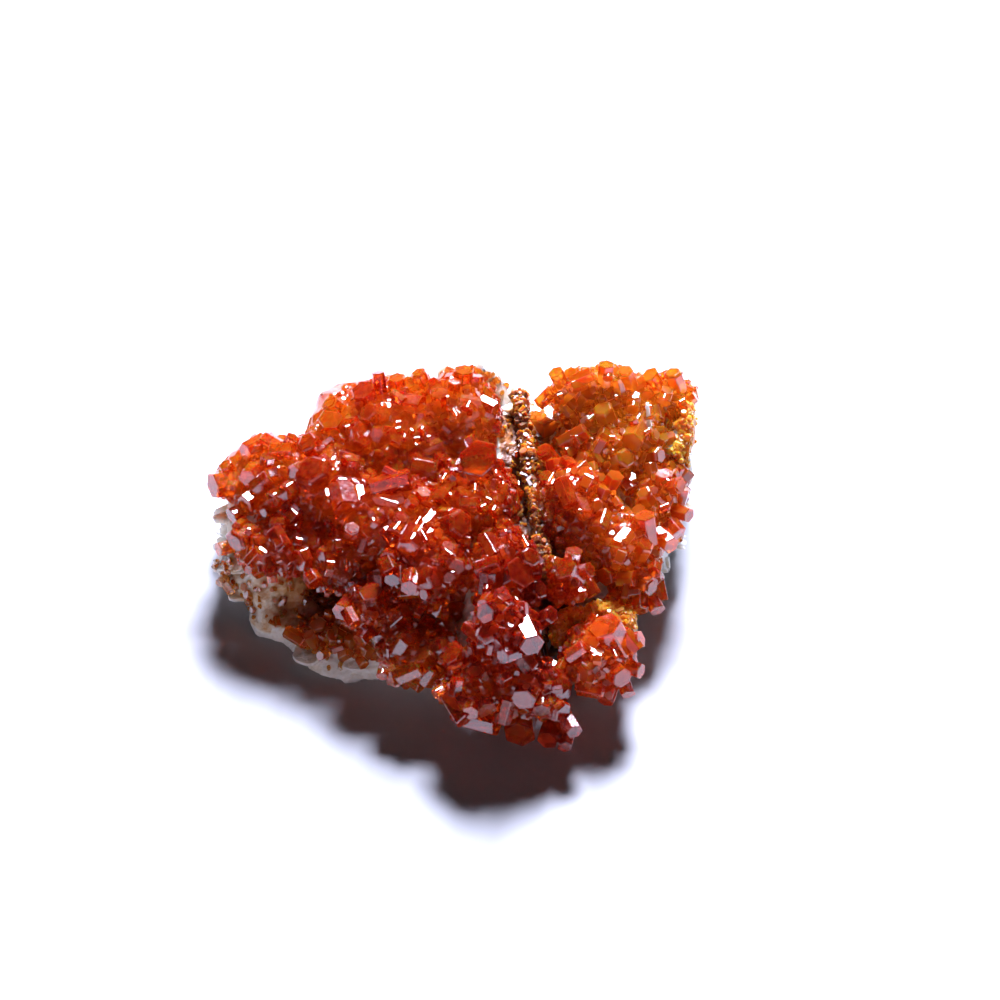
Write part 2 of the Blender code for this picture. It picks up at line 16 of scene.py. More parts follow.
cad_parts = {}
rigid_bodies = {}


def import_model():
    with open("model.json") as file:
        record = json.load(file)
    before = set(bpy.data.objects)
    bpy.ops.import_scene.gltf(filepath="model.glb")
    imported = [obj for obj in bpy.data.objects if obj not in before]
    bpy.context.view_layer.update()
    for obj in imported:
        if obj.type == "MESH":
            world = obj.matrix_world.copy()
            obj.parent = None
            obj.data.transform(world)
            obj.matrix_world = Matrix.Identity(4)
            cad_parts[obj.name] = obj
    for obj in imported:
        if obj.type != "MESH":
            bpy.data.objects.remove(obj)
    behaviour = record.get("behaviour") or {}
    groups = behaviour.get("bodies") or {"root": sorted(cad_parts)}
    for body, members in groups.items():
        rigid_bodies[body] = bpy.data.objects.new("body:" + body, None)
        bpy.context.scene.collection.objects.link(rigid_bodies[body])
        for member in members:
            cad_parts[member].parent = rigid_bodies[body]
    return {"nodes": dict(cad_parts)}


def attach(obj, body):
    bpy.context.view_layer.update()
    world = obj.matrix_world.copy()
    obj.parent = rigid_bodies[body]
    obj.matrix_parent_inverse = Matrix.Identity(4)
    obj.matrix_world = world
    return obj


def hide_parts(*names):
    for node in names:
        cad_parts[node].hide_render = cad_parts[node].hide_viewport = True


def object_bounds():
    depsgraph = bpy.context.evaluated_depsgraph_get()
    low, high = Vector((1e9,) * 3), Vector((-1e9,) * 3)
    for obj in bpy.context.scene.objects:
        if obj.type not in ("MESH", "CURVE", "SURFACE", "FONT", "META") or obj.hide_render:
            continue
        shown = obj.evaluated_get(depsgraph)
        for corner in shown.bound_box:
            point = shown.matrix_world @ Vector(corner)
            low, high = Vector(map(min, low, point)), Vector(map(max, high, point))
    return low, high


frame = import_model()
cad_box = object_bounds()
random.seed(20)

MM = 0.001

# The display face slopes back this far. Across it runs x, and up it runs the rise.
FACE_SLOPE = math.radians(48)
ACROSS = Vector((1, 0, 0))
RISE = Vector((0, math.sin(FACE_SLOPE), math.cos(FACE_SLOPE)))
OUT = Vector((0, -math.cos(FACE_SLOPE), math.sin(FACE_SLOPE)))

# The bare strip between the two crusts.
CHANNEL_NORMAL = Vector((0.9917, 0.1289, 0))
CHANNEL_AT = 10.12
CHANNEL_HALF = 1.0

# The rounded swells under each crust: x, y, z and the three half-widths.
MAIN_SWELLS = [
    (-26, 12, 11, 2.2, 3, 2.6), (-21.3, 13, 11, 6, 6, 4.5), (-14.7, 11.4, 12, 7.5, 6.5, 5),
    (-7, 5.2, 12.5, 7.5, 6.5, 5), (-2.7, -1.1, 12, 5.5, 6, 5.5), (-19.1, 3.9, 9.3, 6.3, 4.4, 3.4),
    (-12.3, 1.5, 9.5, 5, 4.5, 3.5), (-6.8, 18.1, 13.5, 10.5, 8, 4.5), (-12, 20.1, 13, 5, 6, 4),
    (0.8, 19.5, 14.5, 5, 7, 4.5), (2.3, 7.8, 13, 5.5, 6, 5), (5.7, -1.9, 12, 4.3, 5.5, 5.5),
    (5.5, -11.3, 11, 4.6, 4.5, 6), (2.7, -15, 6.5, 5, 4, 4), (8.5, -14.4, 6.5, 5.5, 4, 4),
    (-3.8, -9.2, 6, 5.5, 4.5, 3.5), (-8.8, -4.3, 8, 4.5, 4, 3.5), (12.4, -17.6, 4.2, 1.9, 2.4, 2.4),
]
RIGHT_SWELLS = [
    (13.3, 7.9, 12, 5.5, 6, 5), (22.8, 13.2, 8.7, 4.2, 8, 4.8), (18, 19, 12.5, 7.5, 8, 4),
    (18.1, 4.3, 9.3, 6, 5, 4.4), (16.4, 22.2, 15.5, 6.5, 3.5, 4), (24.4, 23.3, 13, 4, 3.6, 3.8),
    (20.4, 1.4, 6.6, 3.8, 3.8, 3.8),
]
BALL_SWELLS = [(12.8, -2.5, 10.6, 2.5, 2.6, 3.2)]
LOWER_RIGHT_SWELLS = [(16.3, -9.6, 6.5, 4.8, 4.5, 4.2)]
SHELF_SWELLS = [(-13.1, -3.4, 2.8, 5.4, 3.2, 1.6), (-9.4, -4.6, 3.0, 3.0, 3.0, 1.6)]

# The larger crystals on the display face: across, rise, radius, length, lean of the axis away from straight
# out of the face, its turn on the face (0 to the right, 90 up the slope), spin, and paleness from 0 to 1.
# Rows below a rise of -3, in the foot, are made paler: their own colour plus painted light for the light that shines
# through these crystals.
MAIN_CRYSTALS = [
    (-25.6, 16.3, 1.5, 3.8, 62, 188, 0, 0.62), (-25.5, 17.9, 0.9, 2, 50, 120, 10, 0.75),
    (-22.6, 20.4, 1.3, 2.9, 55, 205, 20, 0.55), (-20.6, 20.9, 1, 2.4, 66, 330, 10, 0.55),
    (-19.4, 19.9, 1.1, 2.7, 75, 5, 0, 0.65), (-22.9, 17.4, 1.1, 2.2, 35, 230, 15, 0.45),
    (-21.1, 18.4, 0.9, 2.5, 60, 80, 0, 0.45), (-21.7, 16.5, 1, 2.5, 72, 38, 0, 0.4),
    (-19.9, 17.2, 1.1, 2.7, 45, 20, 0, 0.5), (-19.6, 15.1, 1.1, 3.1, 78, 28, 0, 0.35),
    (-18.3, 13.3, 1, 2, 70, 318, 0, 0.3), (-19.7, 11.8, 0.9, 1.8, 74, 2, 0, 0.3),
    (-17.8, 11.7, 0.8, 1.6, 50, 250, 0, 0.3), (-22.6, 14.6, 1.3, 2.9, 60, 215, 0, 0.4),
    (-24.4, 13.1, 1, 2, 65, 210, 0, 0.5), (-15.6, 17, 2.1, 4.3, 34, 115, 8, 0.22),
    (-14.3, 14.2, 1.3, 2.9, 40, 300, 0, 0.5), (-12.1, 14.5, 1.9, 4.5, 42, 285, 10, 0.3),
    (-11.5, 10.8, 0.9, 1.8, 35, 80, 0, 0.5), (-19.6, 10.1, 1, 2.7, 72, 302, 0, 0.3),
    (-23.7, 10.3, 1.5, 3.1, 50, 210, 10, 0.5), (-25.8, 9.1, 0.9, 1.8, 65, 195, 0, 0.75),
    (-8.4, 27.2, 0.8, 3.6, 76, 98, 10, 0.3), (-6.5, 27.2, 1.2, 2.9, 55, 92, 0, 0.72),
    (-10, 26, 1.4, 3.1, 45, 110, 0, 0.3), (-13.3, 24.8, 1.1, 2.5, 55, 140, 0, 0.75),
    (-13.5, 22.8, 1.5, 3.4, 38, 120, 0, 0.62), (-11.8, 23, 0.9, 2, 66, 15, 0, 0.35),
    (-11.2, 21.2, 1.6, 3.4, 45, 40, 0, 0.35), (-11.9, 18.2, 1.1, 2.7, 60, 75, 0, 0.4),
    (-3.4, 17.6, 1.5, 3.6, 80, 2, 0, 0.35), (-1.7, 18.5, 1, 2.5, 62, 60, 0, 0.35),
    (-7.8, 19.4, 1.3, 2.9, 40, 30, 10, 0.4), (-6.7, 18.2, 0.9, 1.8, 25, 45, 15, 0.62),
    (-7.1, 16.3, 1.3, 4.7, 82, 14, 30, 0.35), (-2.4, 27.1, 1, 2.2, 25, 60, 0, 0.5),
    (-3.7, 27.9, 1, 2.9, 55, 112, 0, 0.7), (1, 28, 1.2, 2.9, 58, 85, 0, 0.7),
    (0, 27.3, 0.8, 1.8, 50, 80, 0, 0.5), (-5.2, 25.5, 1.3, 3.4, 70, 348, 0, 0.45),
    (-1.6, 25.5, 1.2, 2.9, 55, 95, 0, 0.5), (-8.9, 24, 1.3, 2.9, 50, 150, 10, 0.45),
    (-7, 21.2, 1.3, 2.7, 45, 40, 0, 0.45), (-16, 20.4, 1.4, 3.1, 40, 130, 5, 0.35),
    (-17.3, 17.9, 1.2, 2.5, 45, 200, 0, 0.45), (2.5, 18.7, 2.3, 4.2, 16, 60, 12, 0.38),
    (-6.1, 11.9, 1, 2, 42, 62, 0, 0.25), (-7.1, 10.4, 0.9, 2, 62, 308, 0, 0.3),
    (-4.6, 10, 1.5, 3.4, 44, 240, 10, 0.2), (-7.2, 8.2, 1, 1.8, 22, 250, 20, 0.25),
    (-3, 5.8, 1.5, 3.4, 45, 2, 0, 0.25), (-1.2, 14.5, 1.3, 2.7, 45, 120, 0, 0.5),
    (0.6, 14.7, 0.9, 2.2, 60, 60, 0, 0.45), (1.8, 13.9, 1, 2, 72, 2, 0, 0.5),
    (-3.6, 14.8, 0.9, 1.8, 50, 70, 0, 0.55), (-0.2, 11.5, 1.8, 4, 40, 20, 10, 0.38),
    (-0.8, 8.7, 0.9, 1.8, 50, 65, 0, 0.4), (3.8, 7, 1.1, 2.9, 76, 18, 0, 0.25),
    (3.7, 5.3, 1.1, 2.7, 72, 84, 0, 0.2), (3.1, 3.6, 1, 1.8, 40, 260, 0, 0.18),
    (5.6, 3.3, 1.2, 2.2, 45, 300, 15, 0.13), (6.5, 5.8, 1.9, 3.8, 42, 32, 5, 0.25),
    (8.1, 7.8, 1.3, 2.5, 35, 40, 0, 0.2), (4.3, 2.2, 1.3, 2.7, 40, 200, 0, 0.05),
    (4.6, -1.3, 1.4, 4.4, 44, 130, 10, 0.08), (8.1, -0.6, 1.8, 3.8, 42, 300, 8, 0.08),
    (0.4, -3.3, 1.5, 3.1, 45, 130, 10, 0.23), (-1.5, 2.5, 0.9, 1.8, 55, 70, 0, 0.45),
    (-1.1, 0, 1.2, 2.5, 50, 40, 10, 0.5), (8.8, 4.2, 1.3, 2.9, 45, 20, 0, 0.13),
    (0.3, 1.9, 1.4, 2.9, 40, 130, 0, 0.3), (5.6, -4.7, 0.8, 1.6, 43, 86, 0, 0.23),
    (0.3, -6.3, 0.8, 2, 72, 80, 0, 0.21), (0.6, -8.4, 1.5, 3.8, 70, 302, 0, 0.33),
    (3.1, -10, 1.5, 4, 66, 346, 0, 0.38), (7.4, -10.4, 1.9, 3.8, 44, 268, 8, 0.38),
    (5.8, -8.9, 1, 3.1, 70, 75, 20, 0.33), (3.5, -8.2, 1.2, 2.2, 48, 290, 10, 0.43),
    (11.1, -8.7, 1.5, 3.4, 50, 332, 0, 0.33), (9.8, -8, 1.3, 2.7, 45, 265, 0, 0.38),
    (8.2, -6.9, 1.5, 3.1, 38, 240, 10, 0.31), (2.9, -5.5, 1.3, 2.9, 45, 120, 0, 0.33),
    (13.1, -10.7, 1, 2, 48, 300, 0, 0.2), (12.5, -12.6, 0.9, 1.6, 40, 255, 10, 0.2),
    (10.7, -11.5, 1.3, 2.5, 45, 250, 0, 0.2), (-4.9, -4.7, 1.1, 3.2, 66, 24, 0, 0.6),
    (-7.8, -4.4, 0.8, 1.6, 48, 80, 0, 0.6), (-1.9, -2.4, 1.3, 2.9, 60, 20, 0, 0.45),
    (-5.5, -1.8, 1.2, 2.5, 50, 60, 10, 0.5), (-12.2, 2.5, 1.1, 2.5, 40, 230, 0, 0.5),
    (-11.5, 1.3, 0.9, 2.2, 62, 300, 0, 0.4), (-8.9, 3.3, 1.4, 3.1, 45, 110, 8, 0.4),
    (-10, -0.6, 1, 2.2, 60, 230, 0, 0.45), (-6.1, 1.5, 1.3, 2.9, 45, 40, 10, 0.4),
    (-7, -5, 0.8, 2.2, 50, 100, 0, 0.7), (-2.6, -5.2, 0.9, 2.4, 58, 60, 10, 0.55),
    (-3.2, -3.4, 1, 2.2, 40, 120, 0, 0.65), (10.3, 1.4, 1.1, 2.4, 45, 30, 0, 0.1),
    (6.2, -2.6, 1, 2.2, 48, 200, 0, 0.08), (-18.6, 20.8, 0.9, 2, 60, 60, 0, 0.5),
]
RIGHT_CRYSTALS = [
    (10.3, 26.1, 0.9, 2.2, 66, 45, 0, 0.77), (12.8, 26.6, 1, 2.5, 45, 40, 0, 0.87),
    (14.4, 28.2, 0.9, 2.9, 76, 24, 0, 0.87), (17.1, 28.7, 1, 2.7, 60, 85, 0, 0.97),
    (19.6, 28.2, 1, 2.5, 45, 110, 10, 1), (22.7, 27.8, 1.1, 2.9, 50, 122, 0, 0.77),
    (25.1, 28, 1.1, 2.7, 55, 110, 0, 1), (11.9, 28.2, 1, 2.2, 55, 120, 0, 1),
    (20.3, 25.7, 0.9, 2, 48, 84, 0, 0.92), (23.9, 26.3, 0.9, 2, 48, 70, 0, 1),
    (13.5, 21.5, 1.1, 3.4, 76, 30, 0, 0.62), (10.7, 19.3, 1.1, 2.7, 50, 130, 10, 0.32),
    (10.2, 22.8, 1.4, 3.5, 40, 330, 0, 0.67), (17.1, 23.9, 1.3, 3.1, 45, 110, 0, 1),
    (20.4, 21.7, 1.4, 3.1, 36, 240, 10, 0.82), (18.7, 18.8, 1.3, 3.1, 40, 30, 0, 0.95),
    (14.9, 17, 1.1, 2.2, 44, 114, 15, 0.37), (12.6, 15.3, 1.1, 3.4, 68, 292, 0, 0.25),
    (14.4, 13.6, 1, 2.3, 50, 290, 0, 0.27), (21.6, 11.2, 1.3, 3.7, 60, 98, 0, 0.47),
    (16.4, 12, 1.1, 2.7, 45, 250, 0, 0.42), (17.8, 16.5, 1, 2.3, 50, 60, 0, 0.72),
    (19.8, 16.7, 0.9, 1.8, 40, 80, 10, 0.84), (25.5, 13.1, 1.1, 2.7, 55, 340, 0, 0.57),
    (23.7, 10, 1.1, 2.7, 50, 320, 0, 0.8), (24.5, 16, 1.1, 2.5, 50, 10, 0, 0.62),
    (23.6, 16.7, 1, 2.2, 50, 80, 0, 0.62), (21.7, 14.7, 1, 2.3, 45, 120, 0, 0.72),
    (18.9, 10, 1, 2.5, 50, 230, 0, 0.77), (21.1, 8.7, 1.1, 2.9, 50, 60, 0, 0.52),
    (18.5, 8.7, 1, 2, 60, 90, 0, 0.47), (19.4, 5.7, 1, 2.2, 62, 0, 0, 0.52),
    (21.3, 5.3, 1.1, 2.7, 50, 330, 0, 0.47), (17.6, 6.1, 1.1, 2.5, 40, 200, 10, 0.47),
    (20.9, 3, 1.1, 2.5, 55, 270, 0, 0.42), (22.5, 2.8, 1, 2, 62, 300, 0, 0.47),
    (18.2, 3.5, 1.1, 2.2, 50, 230, 0, 0.42),
]
BALL_CRYSTALS = [
    (12.9, 6.2, 1.5, 3.1, 40, 130, 0, 0.45), (11.6, 7.1, 1.1, 2.5, 50, 160, 0, 0.6),
    (14.4, 6.4, 1.1, 2.5, 50, 20, 0, 0.4), (12.2, 4.6, 1, 2.2, 45, 250, 0, 0.3),
    (13.8, 4.4, 1, 2.2, 50, 300, 0, 0.5), (13.3, 8, 1, 2, 55, 80, 0, 0.45),
]
LOWER_RIGHT_CRYSTALS = [
    (17.6, -0.9, 2, 4.2, 52, 120, 10, 0.35), (15.3, -4.3, 1.5, 3.4, 45, 210, 0, 0.47),
    (18, -4.7, 1.5, 3.4, 40, 320, 10, 0.27), (16, -2.8, 0.9, 1.6, 50, 86, 0, 0.32),
    (15.3, -6.5, 0.8, 3.4, 80, 346, 0, 0.37), (17.3, -7.2, 1, 2.2, 60, 250, 0, 0.32),
    (19.2, -6.4, 0.9, 2.2, 64, 290, 0, 0.27), (20.2, -4.4, 0.9, 1.8, 60, 340, 0, 0.42),
    (13.6, -2.4, 0.9, 2.5, 74, 34, 0, 0.32), (20, -1.2, 1, 2.2, 60, 10, 0, 0.27),
    (13.9, -4.8, 1.1, 2.2, 45, 190, 0, 0.52),
]
SHELF_CRYSTALS = [
    (-16, -1.2, 0.8, 1.8, 50, 120, 0, 0.7), (-13.9, -1.2, 0.9, 2, 40, 60, 0, 0.7),
    (-11.7, -1.6, 0.8, 1.8, 50, 90, 0, 0.7), (-14.7, -2.9, 0.6, 1.3, 40, 200, 0, 0.85),
    (-12.2, -2.9, 0.7, 1.4, 50, 30, 0, 0.7), (-9.9, -2.4, 0.8, 1.8, 45, 320, 0, 0.7),
    (-10.3, -3.7, 0.7, 1.3, 50, 300, 0, 0.7), (-13.1, -0.6, 0.8, 1.6, 45, 150, 0, 0.7),
    (-8.5, -2.9, 0.8, 1.6, 50, 0, 0, 0.7),
]
# Crystals lying level that catch the light: across, rise, shown width and length, turn, tip and paleness.
# Rows below a rise of -3, in the foot, are made paler too: painted light for the light that shines through these
# crystals.
MAIN_LEVEL = [
    (-18.3, 13.4, 1.1, 1.9, -40, 0, 0.35), (-19.7, 12, 1, 1.3, 2, 1, 0.3),
    (-6.1, 11.9, 1.1, 1.8, 52, 0, 0.35), (3.8, 5.5, 0.6, 1.9, 84, 0, 0.2),
    (-4.8, 6.1, 1.1, 1.9, 82, 8, 0.25), (-7.1, 7.8, 1.2, 1.5, -62, 9, 0.25),
    (-9.4, 6.1, 0.7, 0.4, 5, 0, 0.3), (-13, 10, 0.7, 0.8, 10, 4, 0.35), (-12, 7.4, 0.3, 1.1, 85, 2, 0.3),
    (5.6, -4.7, 0.9, 1.1, 30, 1, 0.35), (-7.9, -4.4, 0.7, 0.9, 80, 1, 0.65),
    (-15.8, 6.3, 1, 1.2, -50, 8, 0.3), (-19.8, 15.4, 0.9, 1.6, 35, 5, 0.4),
    (-18.4, 16.3, 0.9, 1.3, 38, 6, 0.4), (-12.5, 16.9, 0.4, 1, 0, 2, 0.35),
    (-3.7, 18.9, 1, 2.5, -2, 10, 0.4), (-11.7, 22.9, 0.9, 1.6, 25, 6, 0.3),
    (-11, 22.1, 0.9, 1, -55, 11, 0.35), (-1.1, 17.2, 0.3, 0.9, 58, 0, 0.5), (2.4, 16, 0.3, 0.8, 85, 0, 0.4),
    (-3.3, 10.6, 0.3, 1.3, -60, 1, 0.25), (-4, 12.2, 0.4, 1.1, 60, 3, 0.3),
    (-19.6, 10.6, 1, 1.8, -65, 9, 0.35), (1.6, 25.3, 0.8, 0.8, 60, 1, 0.5),
    (-0.8, 26.1, 0.8, 0.3, 5, 1, 0.45), (0.1, 24.4, 0.2, 0.9, -60, 0, 0.5), (-0.7, 8.7, 1, 1, -30, 7, 0.35),
    (-17.4, 10.1, 0.6, 0.7, -10, 3, 0.3), (-13.9, 7.5, 0.8, 0.9, 0, 7, 0.35),
    (-17, 8.7, 1.2, 1.1, 30, 9, 0.35), (2.1, -8, 1, 1.5, 78, 9, 0.4), (0.7, -2.9, 1.1, 1.7, -20, 7, 0.2),
    (10.9, 3.9, 0.4, 0.6, -50, 0, 0.2), (8, 10, 0.4, 1.3, -60, 3, 0.25), (5.4, 3.4, 1, 1.6, -30, 9, 0.25),
    (3.7, 3.7, 0.9, 1.3, 60, 10, 0.25), (-1.6, -6.5, 0.6, 1, 30, 2, 0.6), (0, -5.8, 0.6, 0.9, 35, 4, 0.55),
    (-14.2, 4.4, 0.4, 0.6, 0, 4, 0.4), (1.5, 10.3, 0.6, 0.7, 0, 8, 0.4), (7, 19.9, 0.3, 0.3, 0, 0, 0.3),
    (-6.9, 2.1, 0.4, 0.7, 40, 6, 0.45), (-3.8, 2.4, 0.6, 0.8, -20, 8, 0.4), (-1, 2.5, 0.7, 0.7, 10, 5, 0.4),
    (-6.3, 22.6, 0.4, 0.6, 20, 1, 0.6), (-5.6, 21.7, 0.3, 0.4, 70, 2, 0.6),
    (-4.8, 22.4, 0.4, 0.4, -30, 0, 0.6), (-4.2, 21.5, 0.3, 0.6, 10, 3, 0.6),
    (-3.6, 22.6, 0.6, 0.4, 50, 1, 0.6), (-2.9, 21.7, 0.4, 0.4, 0, 2, 0.6),
    (3.3, 13.9, 0.6, 0.7, 30, 0, 0.6), (3.9, 14.7, 0.4, 0.6, -20, 2, 0.6),
    (4.5, 13.6, 0.7, 0.6, 60, 0, 0.6), (3.6, 12.7, 0.4, 0.6, 10, 1, 0.6), (4.8, 12.2, 0.4, 0.7, 80, 3, 0.6),
]
RIGHT_LEVEL = [
    (15.2, 17.1, 1.3, 1.1, -25, 0, 0.5), (21.7, 12, 0.7, 1.2, 15, 0, 0.45), (14, 21.9, 1, 1.3, 42, 7, 0.5),
    (13, 20.4, 0.8, 1.2, 25, 6, 0.6), (20.3, 25.6, 0.8, 0.9, 85, 1, 0.85), (23.9, 26.5, 0.8, 1, 70, 0, 0.8),
    (23.9, 17, 0.8, 0.9, -50, 1, 0.6), (17.4, 28.9, 0.6, 0.8, 85, 0, 0.7),
    (15.7, 24.8, 0.3, 0.8, 35, 0, 0.85), (15.4, 23.9, 0.3, 0.9, 45, 0, 0.8),
    (18.9, 18.4, 0.3, 0.8, 12, 0, 0.7), (23.7, 13.9, 0.4, 1.1, 25, 1, 0.45),
    (24.8, 11.9, 1, 1.6, -45, 9, 0.35), (18.4, 14.5, 0.6, 0.9, -55, 8, 0.6),
    (10.9, 17.1, 0.3, 1.3, 60, 1, 0.4), (21.8, 22.4, 0.3, 0.8, 40, 0, 0.8),
    (17.8, 21.7, 0.4, 0.6, 0, 0, 0.8), (19, 10.2, 0.4, 0.7, 20, 0, 0.45),
    (18.7, 8.7, 1.1, 1.1, -15, 8, 0.4), (19.8, 16.5, 0.9, 1, -50, 8, 0.6),
    (10.6, 26, 0.4, 1.5, 50, 7, 0.45), (25.8, 25.8, 0.6, 0.7, 30, 0, 0.9), (13.9, 28, 0.7, 2, 25, 9, 0.65),
    (18.3, 26.3, 0.3, 0.3, 0, 0, 0.8), (14.2, 13.4, 0.4, 0.4, 0, 2, 0.45), (22.6, 7.2, 0.9, 1, 80, 9, 0.35),
    (19.2, 4.9, 1.1, 0.7, -5, 7, 0.4), (11.9, 10.2, 0.3, 1, 0, 2, 0.3), (23.4, 10.8, 0.3, 1, 20, 3, 0.3),
    (11.9, 26.4, 0.6, 0.6, 20, 2, 0.6),
]
LOWER_RIGHT_LEVEL = [
    (16, -2.8, 0.6, 1, 0, 0, 0.5), (15.2, -6.3, 0.6, 2.7, -8, 0, 0.45), (13.4, -2.1, 0.3, 0.3, 0, 0, 0.6),
    (17.9, -2.4, 0.3, 1.1, -60, 3, 0.5), (15.3, -4.8, 0.9, 0.7, -10, 7, 0.45),
    (12, -3.8, 0.7, 1.6, 70, 9, 0.4), (17.5, -6.6, 0.6, 1, 70, 6, 0.4),
]

# The object's outline as seen square on to the display face: across, rise.
OUTLINE = [
    (-27.6, 16.3), (-26.2, 18.3), (-24.5, 18), (-23.3, 18.9), (-23.3, 21.5), (-20.4, 22.5),
    (-18.2, 21.7), (-15.8, 22.6), (-13.9, 26.6), (-9.1, 27.8), (-9.1, 28.8), (-8.3, 29), (-7.8, 28.2),
    (-5.1, 28.1), (-1.6, 29.8), (-0.2, 29.1), (3.5, 30.4), (6, 27.1), (11.5, 26.9), (10.8, 28),
    (11.7, 28.9), (15.7, 28.9), (17.5, 30.1), (19.4, 29.6), (20.4, 28.3), (23.1, 29.4), (26.5, 28.4),
    (27.5, 27.1), (26.2, 12.2), (25.4, 9.1), (23.4, 6.4), (23.3, 2.8), (21.1, 0.1), (20.1, -2.9),
    (20.7, -5.2), (19.8, -6.9), (17, -8.3), (13.6, -7.8), (14.3, -10.2), (13.5, -13.5), (11.9, -13.9),
    (5.2, -11.5), (0.4, -11.1), (-2, -6.6), (-11.5, -6.5), (-22.9, 0.7), (-27.5, 6.1), (-26.7, 7.8),
    (-24.9, 8.2), (-26.5, 9.1), (-25.8, 11.5), (-24, 12.5), (-25.1, 13.1), (-24.8, 14.2),
]


# ---- Small helpers ----


def clear_selection():
    bpy.ops.object.select_all(action="DESELECT")


def take(obj):
    """Makes this the one selected and active object."""
    clear_selection()
    obj.select_set(True)
    bpy.context.view_layer.objects.active = obj


def finish_modifier(obj, kind, **settings):
    """Adds one modifier and applies it."""
    take(obj)
    modifier = obj.modifiers.new(kind.lower(), kind)
    for key, value in settings.items():
        setattr(modifier, key, value)
    bpy.ops.object.modifier_apply(modifier=modifier.name)


def set_apart(name):
    """A collection for shapes that are joined into another piece."""
    made = bpy.data.collections.new(name)
    bpy.context.scene.collection.children.link(made)
    return made


def pick(obj, kind, test):
    """In edit mode, selects only the vertices, edges or faces that pass the test."""
    bpy.ops.mesh.select_mode(type=kind)
    bpy.ops.mesh.select_all(action="DESELECT")
    bm = bmesh.from_edit_mesh(obj.data)
    for item in {"VERT": bm.verts, "EDGE": bm.edges, "FACE": bm.faces}[kind]:
        if test(item):
            item.select_set(True)
    bm.select_flush_mode()
    bmesh.update_edit_mesh(obj.data)


def clouds(name, size, depth=2):
    """A soft procedural pattern for displacement."""
    made = bpy.data.textures.new(name, "CLOUDS")
    made.noise_scale = size * MM
    made.noise_depth = depth
    return made


# ---- Crystal patterns: radius 1, length 2 along z, the outer end up ----


def on_outer_cap(edge):
    return all(v.co.z > 0.99 for v in edge.verts)


def off_the_root(edge):
    return max(v.co.z for v in edge.verts) > -0.99


def crystal_pattern(name, cap, edge=0.07, both_ends=False):
    """One six-sided crystal. cap says how its outer end grew."""
    clear_selection()
    bpy.ops.mesh.primitive_cylinder_add(vertices=6, radius=1, depth=2)
    shape = bpy.context.object
    shape.name = name
    bpy.ops.object.mode_set(mode="EDIT")
    if cap == "chamfered":
        pick(shape, "EDGE", on_outer_cap)
        bpy.ops.mesh.bevel(offset=0.2, segments=1)
    if cap == "tapered":
        pick(shape, "FACE", lambda f: f.normal.z > 0.9)
        bpy.ops.transform.resize(value=(0.84, 0.84, 1))
    if cap == "stepped":
        pick(shape, "FACE", lambda f: f.normal.z > 0.9)
        bpy.ops.mesh.inset(thickness=0.26)
        bpy.ops.mesh.extrude_region_move(TRANSFORM_OT_translate={"value": (0.07, 0.04, 0.14)})
    if cap == "hollow":
        pick(shape, "FACE", lambda f: f.normal.z > 0.9)
        bpy.ops.mesh.inset(thickness=0.22)
        bpy.ops.mesh.inset(thickness=0.12)
        bpy.ops.transform.translate(value=(0, 0, -0.16))
    if cap in ("flat", "chamfered", "tapered"):
        pick(shape, "EDGE", (lambda e: True) if both_ends else off_the_root)
        bpy.ops.mesh.bevel(offset=edge, segments=1)
    else:
        pick(shape, "EDGE", lambda e: abs(e.verts[0].co.z - e.verts[1].co.z) > 1.5)
        bpy.ops.mesh.bevel(offset=edge, segments=1)
    bpy.ops.mesh.select_all(action="SELECT")
    bpy.ops.mesh.normals_make_consistent(inside=False)
    bpy.ops.object.mode_set(mode="OBJECT")
    shape.data.attributes.new("tone", "FLOAT", "FACE")
    return shape


def blade_pattern(name):
    """One barite blade: 1 long along x from its root, 1 wide and 1 thick, thinner and blunt at its outer end."""
    clear_selection()
    bpy.ops.mesh.primitive_cube_add(size=1, location=(0.5, 0, 0))
    shape = bpy.context.object
    shape.name = name
    bpy.ops.object.transform_apply(location=True, rotation=False, scale=False)
    bpy.ops.object.mode_set(mode="EDIT")
    pick(shape, "FACE", lambda f: f.normal.x > 0.9)
    bpy.ops.transform.resize(value=(1, 0.5, 0.4))
    pick(shape, "EDGE", lambda e: all(v.co.x > 0.99 for v in e.verts) and abs(e.verts[0].co.y - e.verts[1].co.y) < 0.1)
    bpy.ops.mesh.bevel(offset=0.11, segments=1)
    pick(shape, "EDGE", lambda e: max(v.co.x for v in e.verts) > 0.01)
    bpy.ops.mesh.bevel(offset=0.02, segments=1)
    bpy.ops.mesh.select_all(action="SELECT")
    bpy.ops.mesh.normals_make_consistent(inside=False)
    bpy.ops.object.mode_set(mode="OBJECT")
    return shape


def plain_pattern(name):
    """A tiny crystal, just a tapered six-sided tip."""
    clear_selection()
    bpy.ops.mesh.primitive_cylinder_add(vertices=6, radius=1, depth=2)
    shape = bpy.context.object
    shape.name = name
    bpy.ops.object.mode_set(mode="EDIT")
    pick(shape, "FACE", lambda f: f.normal.z > 0.9)
    bpy.ops.transform.resize(value=(0.8, 0.8, 1))
    bpy.ops.object.mode_set(mode="OBJECT")
    shape.data.attributes.new("tone", "FLOAT", "FACE")
    return shape


def stand(pattern, place, radius, length, tone, where):
    """Copies a pattern to its place at its size, with its own paleness, a little different on each face."""
    shape = pattern.copy()
    shape.data = pattern.data.copy()
    squash = random.uniform(0.9, 1.1)
    size = Matrix.Diagonal((radius * squash * MM, radius / squash * MM, length / 2 * MM, 1))
    shape.data.transform(place @ size)
    faces = shape.data.attributes["tone"]
    shades = np.random.default_rng(int(abs(tone) * 1e6) % 99991).normal(tone, 0.08, len(faces.data))
    faces.data.foreach_set("value", shades.clip(0, 1))
    where.objects.link(shape)
    return shape


# ---- Where crystals stand ----


